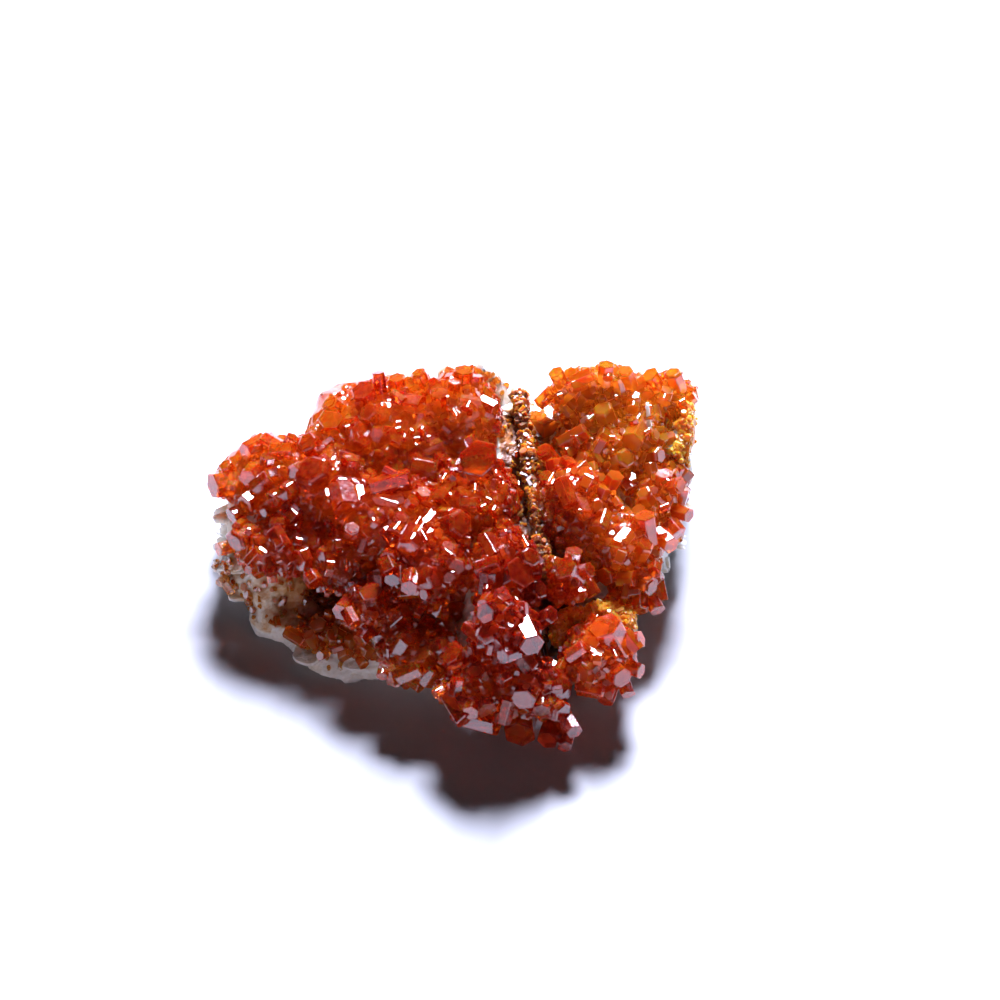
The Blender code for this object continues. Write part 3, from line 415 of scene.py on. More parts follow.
def axes_of(lean, turn, spin):
    """The crystal's own axes, as the columns of a matrix: z runs along the prism."""
    lean, turn = math.radians(lean), math.radians(turn)
    along = (
        ACROSS * math.sin(lean) * math.cos(turn)
        + RISE * math.sin(lean) * math.sin(turn)
        + OUT * math.cos(lean)
    )
    seen = OUT if math.sin(lean) > 0.57 else RISE
    first = (seen - along * seen.dot(along)).normalized()
    turned = Matrix((first, along.cross(first), along)).transposed().to_4x4()
    return turned @ Matrix.Rotation(math.radians(spin + 30), 4, "Z")


def swell_surface(swells, across, rise):
    """How far out of the face the swells reach at a point of it."""
    start = ACROSS * across + RISE * rise
    nearest, reach = None, None
    for x, y, z, *half in swells:
        way = Vector([OUT[i] / half[i] for i in range(3)])
        off = Vector([(start[i] - (x, y, z)[i]) / half[i] for i in range(3)])
        middle = -off.dot(way) / way.dot(way)
        miss = (off + way * middle).length
        if miss < 1:
            top = middle + math.sqrt((1 - miss * miss) / way.dot(way))
            reach = top if reach is None else max(reach, top)
        elif nearest is None or miss < nearest[0]:
            nearest = (miss, middle)
    return nearest[1] if reach is None else reach


def place_of(row, swells):
    """Where a crystal of the display face stands, its outer end proud of the swell under it."""
    across, rise, radius, length, lean, turn, spin = row
    tilt = math.radians(lean)
    half_depth = length / 2 * math.cos(tilt) + 0.9 * radius * math.sin(tilt)
    proud = 0.35 + 0.55 * radius + (0.4 if lean > 60 else 0)
    out = swell_surface(swells, across, rise) + proud - half_depth
    point = ACROSS * across + RISE * rise + OUT * out
    return Matrix.Translation(point * MM) @ axes_of(lean, turn, spin)


def within_outline(point):
    """Whether a point shows inside the object's outline as seen square on to the display face."""
    across, rise, odd = point.x, point.dot(RISE), False
    for (xa, ya), (xb, yb) in zip(OUTLINE, OUTLINE[1:] + OUTLINE[:1]):
        if (ya > rise) != (yb > rise) and across < xa + (rise - ya) * (xb - xa) / (yb - ya):
            odd = not odd
    return odd


def solid_tree(obj):
    """For asking whether a point is inside a closed mesh, in millimetres."""
    points = [v.co / MM for v in obj.data.vertices]
    return BVHTree.FromPolygons(points, [p.vertices for p in obj.data.polygons])


def depth_under(tree, point):
    """How far a point lies under the surface, negative outside."""
    near, normal, _, far = tree.find_nearest(point)
    return far if (point - near).dot(normal) < 0 else -far


class Spacing:
    """Keeps track of where crystals stand, for keeping new ones clear of them."""

    def __init__(self, cell=2.0):
        self.cell = cell
        self.cells = {}
        self.long = []

    def key(self, point):
        return tuple(int(math.floor(c / self.cell)) for c in point)

    def add(self, point, radius):
        self.cells.setdefault(self.key(point), []).append((point, radius))

    def add_long(self, start, end, radius):
        self.long.append((start, end - start, radius))

    def free(self, point, radius, share):
        a, b, c = self.key(point)
        for i in (a - 1, a, a + 1):
            for j in (b - 1, b, b + 1):
                for k in (c - 1, c, c + 1):
                    for other, size in self.cells.get((i, j, k), ()):
                        if (other - point).length < share * (radius + size):
                            return False
        for start, along, size in self.long:
            part = min(1, max(0, (point - start).dot(along) / along.length_squared))
            if (start + along * part - point).length < 0.62 * size + 0.75 * radius:
                return False
        return True


# ---- Materials ----


def new_material(name, colour):
    """An empty material with its shader, as (material, tree, shader)."""
    made = bpy.data.materials.new(name)
    made.use_nodes = True
    made.diffuse_color = (*colour, 1)
    return made, made.node_tree, made.node_tree.nodes["Principled BSDF"]


def add_node(tree, kind, **values):
    """A node with its settings and its unlinked inputs, by name."""
    made = tree.nodes.new("ShaderNode" + kind)
    for key, value in values.items():
        if key in made.inputs:
            made.inputs[key].default_value = value
        else:
            setattr(made, key, value)
    return made


def ramp(tree, source, stops):
    """A colour ramp on a value, through (position, colour) stops."""
    made = tree.nodes.new("ShaderNodeValToRGB")
    steps = made.color_ramp.elements
    while len(steps) < len(stops):
        steps.new(0.5)
    for step, (at, colour) in zip(steps, stops):
        step.position = at
        step.color = (*colour, 1)
    tree.links.new(source, made.inputs["Fac"])
    return made.outputs["Color"]


def grain(tree, scale, detail=3.0, stretch=(1, 1, 1)):
    """Noise over the piece, scale in features per metre."""
    place = tree.nodes.new("ShaderNodeTexCoord")
    fit = add_node(tree, "Mapping", Scale=stretch)
    made = add_node(tree, "TexNoise", Scale=scale, Detail=detail, Roughness=0.6)
    tree.links.new(place.outputs["Object"], fit.inputs["Vector"])
    tree.links.new(fit.outputs["Vector"], made.inputs["Vector"])
    return made


def spread(tree, source, low, high, start=0.3, end=0.7):
    """Maps the middle of a noise to a range."""
    made = add_node(tree, "MapRange")
    for socket, value in zip(("From Min", "From Max", "To Min", "To Max"), (start, end, low, high)):
        made.inputs[socket].default_value = value
    tree.links.new(source, made.inputs["Value"])
    return made.outputs["Result"]


def plus(tree, one, two):
    made = add_node(tree, "Math", operation="ADD", use_clamp=True)
    tree.links.new(one, made.inputs[0])
    tree.links.new(two, made.inputs[1])
    return made.outputs["Value"]


DEEP_STOPS = [
    (0.0, (0.34, 0.014, 0.005)),
    (0.3, (0.70, 0.070, 0.008)),
    (0.55, (0.88, 0.18, 0.012)),
    (0.8, (0.95, 0.27, 0.018)),
    (1.0, (0.98, 0.37, 0.03)),
]
PALE_STOPS = [
    (0.0, (0.46, 0.025, 0.006)),
    (0.3, (0.84, 0.11, 0.010)),
    (0.55, (0.95, 0.19, 0.012)),
    (0.8, (0.98, 0.24, 0.014)),
    (1.0, (0.98, 0.32, 0.02)),
]


def vanadinite(name, stops, density, clear, glow):
    """Red crystal: its paleness comes from the tone of each face, with cloudy zones through it."""
    made, tree, shader = new_material(name, (0.5, 0.06, 0.01))
    tone = add_node(tree, "Attribute", attribute_name="tone")
    zones = spread(tree, grain(tree, 700).outputs["Fac"], -0.16, 0.16)
    colour = ramp(tree, plus(tree, tone.outputs["Fac"], zones), stops)
    tree.links.new(colour, shader.inputs["Base Color"])
    dull = spread(tree, grain(tree, 2500).outputs["Fac"], 0.03, 0.16)
    tree.links.new(dull, shader.inputs["Roughness"])
    shader.inputs["Transmission Weight"].default_value = clear
    shader.inputs["IOR"].default_value = 2.0
    shader.inputs["Subsurface Weight"].default_value = 1.0
    shader.inputs["Subsurface Radius"].default_value = (1.0, 0.12, 0.02)
    shader.inputs["Subsurface Scale"].default_value = glow * MM
    steps = add_node(tree, "Bump", Strength=0.25, Distance=0.00004)
    tree.links.new(grain(tree, 3500, 4).outputs["Fac"], steps.inputs["Height"])
    tree.links.new(steps.outputs["Normal"], shader.inputs["Normal"])
    inner = add_node(tree, "VolumeAbsorption", Color=(0.97, 0.62, 0.05, 1), Density=density)
    tree.links.new(inner.outputs["Volume"], tree.nodes["Material Output"].inputs["Volume"])
    return made


def druse_coat(name, stops):
    """Fine yellow to brown crystals."""
    made, tree, shader = new_material(name, stops[1][1])
    tone = add_node(tree, "Attribute", attribute_name="tone")
    zones = spread(tree, grain(tree, 500).outputs["Fac"], -0.25, 0.25)
    tree.links.new(ramp(tree, plus(tree, tone.outputs["Fac"], zones), stops), shader.inputs["Base Color"])
    shader.inputs["Roughness"].default_value = 0.35
    shader.inputs["Specular IOR Level"].default_value = 0.25
    shader.inputs["Transmission Weight"].default_value = 0.4
    shader.inputs["IOR"].default_value = 1.6
    shader.inputs["Subsurface Weight"].default_value = 1.0
    shader.inputs["Subsurface Radius"].default_value = (1.0, 0.4, 0.05)
    shader.inputs["Subsurface Scale"].default_value = 0.0016
    return made


def white_rock(name):
    """Barite: icy white, yellow and orange where the crust has stained it, brown in the channel, and brown low on the
    left under the main crust, partly dirt and partly painted shade.
    """
    made, tree, shader = new_material(name, (0.8, 0.78, 0.74))
    stain_and_shade = add_node(tree, "Attribute", attribute_name="stain_and_shade")
    patches = spread(tree, grain(tree, 380, 5).outputs["Fac"], -0.3, 0.3)
    colour = ramp(
        tree,
        plus(tree, stain_and_shade.outputs["Fac"], patches),
        [
            (0.0, (0.66, 0.65, 0.60)),
            (0.3, (0.56, 0.47, 0.34)),
            (0.55, (0.42, 0.22, 0.08)),
            (0.75, (0.30, 0.10, 0.012)),
            (1.0, (0.12, 0.03, 0.006)),
        ],
    )
    tree.links.new(colour, shader.inputs["Base Color"])
    shader.inputs["Subsurface Weight"].default_value = 0.8
    shader.inputs["Subsurface Radius"].default_value = (1.0, 0.85, 0.7)
    shader.inputs["Subsurface Scale"].default_value = 0.0016
    tree.links.new(
        spread(tree, grain(tree, 1500).outputs["Fac"], 0.35, 0.65), shader.inputs["Roughness"]
    )
    leaves = add_node(tree, "Bump", Strength=0.5, Distance=0.00012)
    fine = grain(tree, 1400, 6, (1, 1, 3))
    tree.links.new(fine.outputs["Fac"], leaves.inputs["Height"])
    tree.links.new(leaves.outputs["Normal"], shader.inputs["Normal"])
    return made


deep_red = vanadinite("vanadinite_deep", DEEP_STOPS, 260, 0.86, 1.6)
pale_red = vanadinite("vanadinite_pale", PALE_STOPS, 120, 0.83, 2.0)
druse_paint = druse_coat(
    "druse",
    [
        (0.0, (0.10, 0.030, 0.004)),
        (0.35, (0.34, 0.09, 0.008)),
        (0.7, (0.84, 0.25, 0.014)),
        (1.0, (1.0, 0.40, 0.045)),
    ],
)
rock_paint = white_rock("barite")


# ---- Growing crystals over a surface ----

PATTERNS = {
    "flat": crystal_pattern("flat_crystal", "flat"),
    "chamfered": crystal_pattern("chamfered_crystal", "chamfered"),
    "tapered": crystal_pattern("tapered_crystal", "tapered"),
    "stepped": crystal_pattern("stepped_crystal", "stepped"),
    "hollow": crystal_pattern("hollow_crystal", "hollow"),
    "lying": crystal_pattern("lying_crystal", "flat", both_ends=True),
    "tiny": plain_pattern("tiny_crystal"),
    "blade": blade_pattern("barite_blade"),
}
STANDING = ["flat", "flat", "chamfered", "tapered", "flat", "chamfered", "stepped"]
# The way a face points when it mirrors the key light to the front.
SHINE = Vector((0.06, 0.02, 1)).normalized()
LOW, HIGH = Vector(cad_box[0]) / MM, Vector(cad_box[1]) / MM


def in_box(point, margin):
    """Whether a point stays in the model's box, this far inside."""
    return all(LOW[i] + margin < point[i] < HIGH[i] - margin for i in range(3))


def channel_side(point):
    return point.dot(CHANNEL_NORMAL) - CHANNEL_AT


def spread_points(surface, count, seed):
    """Random points over a mesh, with their normals, in millimetres."""
    mesh = surface.data
    corners = np.array([v.co for v in mesh.vertices]) / MM
    mesh.calc_loop_triangles()
    faces = np.array([t.vertices[:] for t in mesh.loop_triangles])
    a, b, c = corners[faces[:, 0]], corners[faces[:, 1]], corners[faces[:, 2]]
    cross = np.cross(b - a, c - a)
    area = np.linalg.norm(cross, axis=1)
    choose = np.random.default_rng(seed)
    picked = choose.choice(len(faces), size=count, p=area / area.sum())
    u, v = choose.random((2, count))
    flip = u + v > 1
    u[flip], v[flip] = 1 - u[flip], 1 - v[flip]
    points = a[picked] + (b - a)[picked] * u[:, None] + (c - a)[picked] * v[:, None]
    normals = cross[picked] / area[picked][:, None]
    return [(Vector(p), Vector(n)) for p, n in zip(points, normals)]


class Tones:
    """The paleness of the ground between the larger crystals, from those nearest, so the painted light of the paler
    foot rows spreads to the ground round them.
    """

    def __init__(self, rows, swells):
        self.points = np.array([place_of(r[:7], swells).translation / MM for r in rows])
        self.tones = np.array([r[7] for r in rows])

    def at(self, point):
        apart = ((self.points - np.array(point)) ** 2).sum(1) + 0.6
        weight = apart**-1.5
        return float((self.tones * weight).sum() / weight.sum())


class EvenTone:
    """One paleness all over."""

    def __init__(self, tone):
        self.tone = tone

    def at(self, point):
        return self.tone


def grow_between(surface, spacing, tones, sizes, count, share, tilt, where, allowed, shades=0.1, tries=14):
    """Smaller crystals over a surface, between those that stand there already."""
    made = 0
    ground = solid_tree(surface)
    for point, normal in spread_points(surface, count * tries, count + len(surface.data.vertices)):
        if made == count:
            break
        if not allowed(point, normal):
            continue
        radius = random.uniform(*sizes) * random.choice((0.8, 1, 1, 1.2))
        if not spacing.free(point, radius, share):
            continue
        lean = Vector([random.gauss(0, tilt) for _ in range(3)])
        axis = (normal + lean).normalized()
        if axis.dot(OUT) > 0.82 and random.random() < 0.7 or radius > 0.45 and axis.dot(SHINE) > 0.98:
            continue
        length = radius * random.uniform(2.0, 3.4)
        centre = point + axis * (radius * random.uniform(0.55, 1.35) - length / 2)
        tip, root = centre + axis * (length / 2), centre - axis * (length / 2)
        proud = 0.3 if radius > 0.5 else -0.5
        if not (within_outline(tip + RISE * proud) and in_box(tip, 0.5 * radius) and in_box(root, 0.5 * radius)):
            continue
        if depth_under(ground, root) < 0 and not within_outline(root):
            continue
        place = (
            Matrix.Translation(centre * MM)
            @ axis.to_track_quat("Z", "Y").to_matrix().to_4x4()
            @ Matrix.Rotation(random.uniform(0, math.tau / 6), 4, "Z")
        )
        pattern = "tiny" if radius < 0.42 else random.choice(STANDING)
        tone = tones.at(point) + random.gauss(0, shades)
        stand(PATTERNS[pattern], place, radius, length, tone, where)
        spacing.add(point, radius)
        made += 1
    return made


def union(body, grown):
    """Joins every shape of a collection into the body, as one closed skin, and clears the collection."""
    finish_modifier(
        body, "BOOLEAN", operation="UNION", solver="MANIFOLD", operand_type="COLLECTION", collection=grown
    )
    for shape in list(grown.objects):
        bpy.data.objects.remove(shape)


def hand_over(piece, paint, node):
    """Finishes a piece: its paint and what it rides on, and hides the CAD node that it stands for."""
    piece.data.materials.clear()
    piece.data.materials.append(paint)
    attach(piece, "root")
    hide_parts(node)
    print(piece.name, len(piece.data.polygons), "faces")


def copy_of_node(name, node, voxel):
    """A CAD node's shape as a finer skin, to work on."""
    made = frame["nodes"][node].copy()
    made.data = made.data.copy()
    made.name = name
    made.parent = None
    bpy.context.scene.collection.objects.link(made)
    take(made)
    bpy.ops.object.mode_set(mode="EDIT")
    bpy.ops.mesh.select_all(action="SELECT")
    bpy.ops.mesh.remove_doubles(threshold=0.000001)
    bpy.ops.object.mode_set(mode="OBJECT")
    finish_modifier(made, "REMESH", mode="VOXEL", voxel_size=voxel * MM)
    return made


# ---- The rock ----

# Barite blades: root x, y, z, the way each points (heading, climb), roll, and length, width, thickness.
BLADES = [
    (22.2, 16.4, 13.4, 100, 62, 80, 4.6, 1.8, 0.8), (2.4, 23, 14.4, 78, 46, 0, 3.4, 1.6, 0.7),
    (3, 23.2, 14.4, 72, 42, 10, 3.2, 1, 0.6), (5, 22, 13.7, 116, 40, 0, 4.2, 0.8, 0.7),
    (5.6, 22, 13.6, 114, 41, 5, 3.8, 0.8, 0.7), (6.2, 21.9, 13.4, 112, 40, -5, 3.2, 0.8, 0.7),
    (6.8, 22, 12.8, 95, 45, 0, 2.6, 1, 0.8), (-0.6, 23.2, 12.8, 95, 48, 0, 4, 4, 0.9),
    (-4.6, 23.2, 12.6, 110, 40, 20, 4, 4, 0.9), (-11.2, 20.4, 12.8, 120, 30, 5, 3.6, 4.4, 1),
    (-13.6, 18.8, 11.4, 140, 24, 15, 3.6, 4, 1), (7.6, 22.2, 11.6, 90, 50, 40, 3, 4, 1),
    (24.6, 16.6, 8.6, 0, 10, 84, 2.4, 9, 1.1), (24.4, 21, 10, 30, 30, 75, 2.6, 7, 1),
    (24, 11.4, 7.4, -10, 6, 80, 2, 8, 1), (-24.4, 9.6, 8, 185, 6, 30, 3, 2.2, 0.8),
    (-24, 5, 4.6, 190, 8, 20, 3.4, 2.6, 0.8), (-22.8, 2.8, 2.8, 195, 0, 10, 2.8, 2.4, 0.8),
    (-22.4, 6.6, 3, 205, 0, 5, 3, 3.4, 0.9), (-23.4, 12.4, 8.6, 170, 20, 15, 2.6, 4, 1),
    (-16, -4.6, 1.6, 240, 0, 6, 2.4, 5, 1), (-10.6, -5.6, 1.4, 268, 0, 0, 2, 7, 1.2),
    (-18.4, 19.6, 7, 130, 10, 60, 3, 5, 1), (2, 23.4, 5, 90, 6, 70, 2.6, 7, 1.1),
    (14, 23.4, 6, 80, 10, 30, 2.6, 8, 1.1), (20.6, 23.4, 5, 70, 4, 65, 2.8, 7, 1),
    (-8, 22.8, 6, 100, 12, 45, 3, 7, 1.1), (8, 23, 8.6, 95, 20, 5, 2.6, 6, 1),
    (23.6, 22.4, 11, 50, 24, 20, 2.4, 6, 1),
]
CRUST_NODES = ("main_crust", "right_crust", "gap_ball", "lower_right_crust", "shelf_crust")
crust_trees = [solid_tree(frame["nodes"][n]) for n in CRUST_NODES]


def from_crust(point):
    """How far a point is from the nearest crust."""
    return min(tree.find_nearest(point)[3] for tree in crust_trees)


def set_blade(place, length, width, thick, where):
    """Copies the barite blade to its place at its size, its root sunk in the rock."""
    shape = PATTERNS["blade"].copy()
    shape.data = shape.data.copy()
    shape.data.transform(place @ Matrix.Diagonal((length * MM, width * MM, thick * MM, 1)))
    for vertex in shape.data.vertices:
        vertex.co.z = max(vertex.co.z, 0.02 * MM)
    where.objects.link(shape)


def blades_over(rock, count, where):
    """Sheaves of small blades over the bare rock, three to six side by side in each."""
    centres = []
    for point, normal in spread_points(rock, count * 40, 3):
        if len(centres) == count:
            break
        gap = from_crust(point)
        hollow = point.y < 3 and point.x < -2 or point.y < 2 and point.x > 14
        if point.z < 0.9 or gap < 0.7 or normal.z < -0.9 or hollow or normal.dot(OUT) > 0.4:
            continue
        if any((point - c).length < 2.0 for c in centres):
            continue
        centres.append(point)
        lean = Vector([random.gauss(0, 0.6) for _ in range(3)])
        way = (normal + lean).normalized()
        turned = way.to_track_quat("X", "Z").to_matrix().to_4x4() @ Matrix.Rotation(random.uniform(0, math.tau), 4, "X")
        for step in range(random.choice((3, 4, 5, 6))):
            length, width = random.uniform(2.0, 4.0), random.uniform(0.8, 2.4)
            fan = Matrix.Rotation(random.gauss(0, 0.16), 4, "Y") @ Matrix.Rotation(random.gauss(0, 0.1), 4, "Z")
            shift = Vector((-0.62 * length + random.uniform(-0.2, 0.2), random.gauss(0, 0.5), (step - 2) * 0.5))
            place = Matrix.Translation(point * MM) @ turned @ Matrix.Translation(shift * MM) @ fan
            far = place @ Vector((length * MM, 0, 0)) / MM
            if in_box(far, 0.25) and from_crust(far) > 0.25 and (within_outline(far) or far.z < 8):
                set_blade(place, length, width, random.uniform(0.22, 0.5), where)


rock = copy_of_node("barite_rock", "barite_matrix", 0.34)
finish_modifier(rock, "SMOOTH", factor=0.5, iterations=6)
for name, size, strength in (("rock_lumps", 3.2, 0.9), ("rock_leaves", 0.9, 0.5)):
    finish_modifier(
        rock, "DISPLACE", texture=clouds(name, size, 3), texture_coords="LOCAL", strength=strength * MM,
        mid_level=0.55,
    )
for vertex in rock.data.vertices:
    vertex.co.z = max(vertex.co.z, 0.0)
blades = set_apart("blades")
for x, y, z, heading, climb, roll, length, width, thick in BLADES:
    turned = Euler((math.radians(roll), math.radians(-climb), math.radians(heading))).to_matrix().to_4x4()
    root = Matrix.Translation(Vector((x, y, z)) * MM) @ turned
    set_blade(root @ Matrix.Translation((-1.4 * MM, 0, 0)), length + 1.4, width, thick, blades)
blades_over(rock, 150, blades)
union(rock, blades)
rock_tree = solid_tree(rock)


def stain_and_shade_of(point, gap):
    """How stained the rock is: by the crusts near it and in the channel; low on the left under the main crust, brown
    dirt and painted shade, darker towards the middle.
    """
    pale_side = point.y > 15 or point.y < -7 or point.z < 4.5 and point.x < -6
    value = (0.25 if pale_side else 0.55) - 0.45 * gap
    if abs(channel_side(point)) < 3.0 and point.y < 20.5:
        value = max(value, 1.0 - 0.012 * max(0.0, point.y - 8))
    # Low on the left under the main crust: brown dirt and painted shade, darker towards the middle.
    if point.x < -8 and -2 < point.y < 8 and 1.5 < point.z < 9:
        value = max(value, min(0.9, 0.1 + 0.065 * (point.x + 25)))
    return max(0.0, value)


stain_and_shade = rock.data.attributes.new("stain_and_shade", "FLOAT", "POINT")
for vertex, value in zip(rock.data.vertices, stain_and_shade.data):
    point = vertex.co / MM
    value.value = stain_and_shade_of(point, from_crust(point))
hand_over(rock, rock_paint, "barite_matrix")


# ---- The crusts ----


def bed_of(name, swells, sink, rough=0.5):
    """The ground that a crust grows on: its swells as one uneven closed skin."""
    clear_selection()
    lumps = []
    for x, y, z, *half in swells:
        bpy.ops.mesh.primitive_ico_sphere_add(subdivisions=4, radius=1, location=(x * MM, y * MM, z * MM))
        lump = bpy.context.object
        lump.scale = [(h - sink) * MM for h in half]
        lumps.append(lump)
    for lump in lumps:
        lump.select_set(True)
    bpy.ops.object.transform_apply(location=True, rotation=True, scale=True)
    if len(lumps) > 1:
        bpy.ops.object.join()
    bed = bpy.context.object
    bed.name = name
    finish_modifier(bed, "REMESH", mode="VOXEL", voxel_size=0.5 * MM)
    finish_modifier(
        bed, "DISPLACE", texture=clouds(name, 2.2), texture_coords="LOCAL", strength=rough * 2 * MM, mid_level=0.5
    )
    finish_modifier(bed, "DECIMATE", ratio=0.35)
    return bed


def side_crystals(place, radius, length, tone, where, allowed):
    """Two or three smaller crystals grown on the flanks of a large one."""
    for _ in range(random.choice((2, 2, 3))):
        around = random.uniform(0, math.tau)
        offset = Vector((math.cos(around), math.sin(around), 0)) * random.uniform(0.75, 0.95) * radius
        small = random.uniform(0.3, 0.5) * radius
        tall = small * random.uniform(2.2, 3.2)
        offset.z = random.uniform(-0.1, 0.42) * length - tall / 2
        lean = Matrix.Rotation(random.gauss(0, 0.5), 4, "X") @ Matrix.Rotation(random.gauss(0, 0.5), 4, "Y")
        stood = place @ Matrix.Translation(offset * MM) @ lean
        tip = stood.translation / MM + stood.to_3x3().col[2] * tall / 2
        if within_outline(tip) and in_box(tip, small) and allowed(tip, Vector((0, 0, 1))):
            stand(PATTERNS[random.choice(STANDING)], stood, small, tall, tone + random.gauss(0.05, 0.1), where)


def level_crystal(row, swells, where, spacing):
    """A crystal lying almost level, its top side mirroring the light but for a slight tip.

    The row gives the middle of that side as (across, rise), its width and length, its turn as it shows on the
    display face, how far it tips, and its paleness.
    """
    across, rise, width, length, turn, tip, tone = row
    shown = math.radians(turn)
    heading = math.atan2(math.sin(shown) / math.sin(FACE_SLOPE), math.cos(shown))
    along = Vector((math.cos(heading), math.sin(heading), 0))
    along = (along - SHINE * along.dot(SHINE)).normalized()
    across_it = SHINE.cross(along)
    radius = width / math.hypot(across_it.x, across_it.y * math.sin(FACE_SLOPE))
    length = length / math.hypot(along.x, along.y * math.sin(FACE_SLOPE))
    out = swell_surface(swells, across, rise) + 0.45 + 0.35 * radius
    middle = ACROSS * across + RISE * rise + OUT * out
    frame_of_it = Matrix((across_it, SHINE, along)).transposed().to_4x4()
    place = (
        Matrix.Translation((middle - SHINE * 0.866 * radius) * MM)
        @ Matrix.Rotation(math.radians(tip), 4, across_it)
        @ frame_of_it
    )
    stand(PATTERNS["lying"], place, radius, length, tone, where)
    spacing.add_long(middle - along * length / 2, middle + along * length / 2, radius)


def crust(name, swells, rows, level_rows, medium, small, strays, paint, node, allowed, sink=0.9):
    """One crust, as one closed skin: the ground, the larger crystals in their places, and smaller ones between."""
    bed = bed_of(name, swells, sink)
    grown = set_apart(name + "_grown")
    spacing = Spacing()
    tones = Tones(rows, swells)
    for row in level_rows:
        level_crystal(row, swells, grown, spacing)
    for index, row in enumerate(rows):
        radius, length, lean, tone = row[2], row[3], row[4], row[7]
        place = place_of(row[:7], swells)
        kind = "lying" if lean > 55 else STANDING[index * 5 % len(STANDING)]
        stand(PATTERNS[kind], place, radius, length, tone, grown)
        middle = place.translation / MM
        along = place.to_3x3().col[2] * length / 2
        spacing.add_long(middle - along, middle + along, radius)
        if radius > 1.2:
            side_crystals(place, radius, length, tone, grown, allowed)
    grow_between(bed, spacing, tones, (0.45, 0.95), medium, 0.8, 0.75, grown, allowed)
    grow_between(bed, spacing, tones, (0.26, 0.45), small, 0.8, 0.8, grown, allowed)
    grow_between(
        rock, spacing, EvenTone(0.9), (0.2, 0.5), strays, 0.9, 0.6, grown,
        lambda point, normal: 0.05 < near_node(node, point) < reach_of(point) and normal.dot(OUT) > -0.2
        and point.z > 1 and (low_on_left(point) or random.random() < 0.3),
        tries=120,
    )
    bed.data.attributes.new("tone", "FLOAT", "FACE")
    for polygon, value in zip(bed.data.polygons, bed.data.attributes["tone"].data):
        value.value = tones.at(polygon.center / MM)
    union(bed, grown)
    hand_over(bed, paint, node)
    return bed


def low_on_left(point):
    """Whether a point is on the rock that shows low on the left, under the main crust."""
    return point.x < -12 and point.y < 9


def reach_of(point):
    """How far from a crust its strays stand: further out over the rock low on the left."""
    return 6.0 if low_on_left(point) else 2.6


def near_node(node, point):
    return crust_trees[CRUST_NODES.index(node)].find_nearest(point)[3]


def clear_of_rock(point, normal):
    return depth_under(rock_tree, point) < 0.3 and normal.z > -0.75 and point.z > 1.2


def on_main(point, normal):
    return clear_of_rock(point, normal) and channel_side(point) < -CHANNEL_HALF


def on_right(point, normal):
    return clear_of_rock(point, normal) and channel_side(point) > CHANNEL_HALF


crust(
    "main_crystals", MAIN_SWELLS, MAIN_CRYSTALS, MAIN_LEVEL, 800, 1300, 420, deep_red, "main_crust", on_main
)
crust(
    "right_crystals", RIGHT_SWELLS, RIGHT_CRYSTALS, RIGHT_LEVEL, 420, 700, 120, pale_red, "right_crust", on_right
)
crust(
    "ball_crystals", BALL_SWELLS, BALL_CRYSTALS, [], 40, 80, 20, deep_red, "gap_ball", clear_of_rock, 0.6
)
crust(
    "lower_right_crystals", LOWER_RIGHT_SWELLS, LOWER_RIGHT_CRYSTALS, LOWER_RIGHT_LEVEL, 80, 160, 60, pale_red,
    "lower_right_crust", clear_of_rock,
)
crust(
    "shelf_crystals", SHELF_SWELLS, SHELF_CRYSTALS, [], 90, 240, 30, pale_red, "shelf_crust", clear_of_rock,
    0.5,
)


# ---- Fine druse ----


def druse(name, node, count, tone):
    """A low pad of fine crystals, thinning out over the rock round it."""
    bed = copy_of_node(name, node, 0.3)
    finish_modifier(
        bed, "DISPLACE", texture=clouds(name, 0.8), texture_coords="LOCAL", strength=0.4 * MM, mid_level=0.7
    )
    grown = set_apart(name + "_grown")
    grow_between(
        bed, Spacing(1.0), EvenTone(tone), (0.16, 0.42), count, 0.7, 0.7, grown,
        lambda point, normal: normal.z > -0.3, 0.2,
    )
    pad = solid_tree(frame["nodes"][node])
    grow_between(
        rock, Spacing(1.0), EvenTone(tone), (0.16, 0.36), count // 2, 0.8, 0.7, grown,
        lambda point, normal: 0.1 < pad.find_nearest(point)[3] < 1.8 and normal.z > 0 and point.y < 19.5, 0.2, 60,
    )
    bed.data.attributes.new("tone", "FLOAT", "FACE")
    shades = np.random.default_rng(5).normal(tone - 0.1, 0.06, len(bed.data.polygons))
    bed.data.attributes["tone"].data.foreach_set("value", shades.clip(0, 1))
    union(bed, grown)
    hand_over(bed, druse_paint, node)


druse("channel_grains", "channel_druse", 500, 0.2)
# The cavity grains get the palest tone: their own golden yellow, and partly painted light that brightens them in the
# shade of the right crust.
druse("cavity_grains", "cavity_druse", 500, 1.0)
druse("edge_grains", "edge_druse", 450, 0.9)
for pattern in PATTERNS.values():
    bpy.data.objects.remove(pattern)


# ---- Floor, light and camera ----

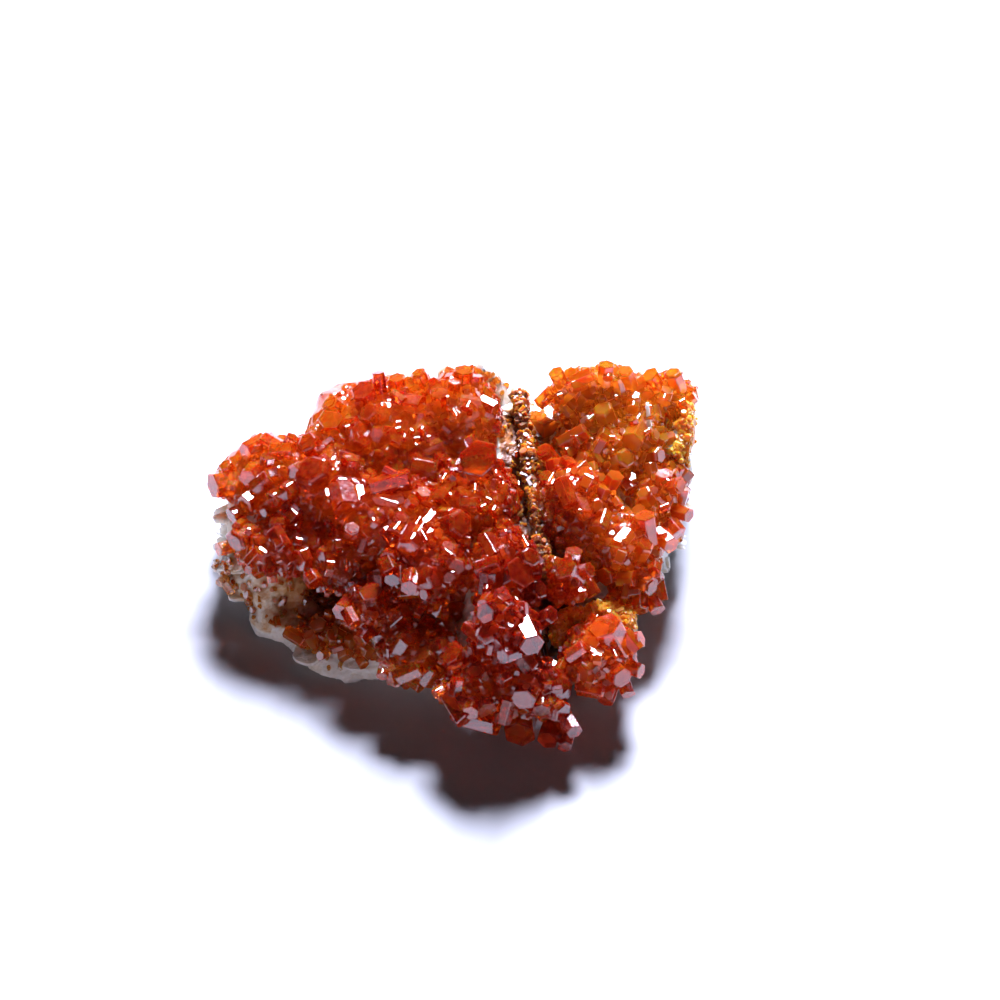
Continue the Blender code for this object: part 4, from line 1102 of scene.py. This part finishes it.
clear_selection()
bpy.ops.mesh.primitive_plane_add(size=4)
floor = bpy.context.object
floor.name = "floor"
floor_paint, floor_tree, floor_shader = new_material("pale_floor", (0.85, 0.85, 0.85))
floor_shader.inputs["Base Color"].default_value = (0.42, 0.42, 0.43, 1)
floor_shader.inputs["Roughness"].default_value = 0.9
floor_shader.inputs["Specular IOR Level"].default_value = 0
floor.data.materials.append(floor_paint)


def softbox(name, azimuth, elevation, distance, size, height, power, colour, middle):
    """A light, this wide and high, that faces the specimen. Azimuth 0 is straight behind it."""
    turn, climb = math.radians(azimuth), math.radians(elevation)
    way = Vector((math.sin(turn) * math.cos(climb), math.cos(turn) * math.cos(climb), math.sin(climb)))
    data = bpy.data.lights.new(name, "AREA")
    data.shape = "RECTANGLE"
    data.size = size
    data.size_y = height
    data.energy = power
    data.color = colour
    made = bpy.data.objects.new(name, data)
    made.matrix_world = (
        Matrix.Translation(middle + way * distance) @ way.to_track_quat("Z", "Y").to_matrix().to_4x4()
    )
    bpy.context.scene.collection.objects.link(made)
    return made


AIM = Vector((5.17, 5.81, 15.19)) * MM
key = softbox("key", 7, 44.6, 0.6, 0.2, 0.2, 28.5, (0.74, 0.78, 1.0), AIM)
halo = softbox("halo", 7, 46, 0.9, 0.6, 0.6, 1.6, (0.74, 0.68, 1.0), AIM)
halo.visible_diffuse = False
front = softbox("front_card", 190, 4, 0.6, 0.7, 0.1, 1.25, (0.98, 0.82, 0.92), AIM)
front.visible_glossy = False
sheen = softbox("front_sheen", 185, 26, 0.9, 1.2, 0.8, 2.2, (1.0, 0.58, 0.7), AIM)
sheen.visible_diffuse = False

world = bpy.data.worlds.new("room")
world.use_nodes = True
sky = world.node_tree.nodes["Background"]
sky.inputs["Color"].default_value = (0.95, 0.85, 1.0, 1)
sky.inputs["Strength"].default_value = 0.015
bpy.context.scene.world = world

CAMERA_AWAY = 1.011
camera_data = bpy.data.cameras.new("camera")
camera_data.lens = 324
camera_data.sensor_width = 36
camera_data.clip_start = 0.01
camera = bpy.data.objects.new("camera", camera_data)
camera.matrix_world = Matrix.Translation(AIM + OUT * CAMERA_AWAY) @ OUT.to_track_quat("Z", "Y").to_matrix().to_4x4()
bpy.context.scene.collection.objects.link(camera)
bpy.context.scene.camera = camera
bpy.context.scene.view_settings.view_transform = "Standard"
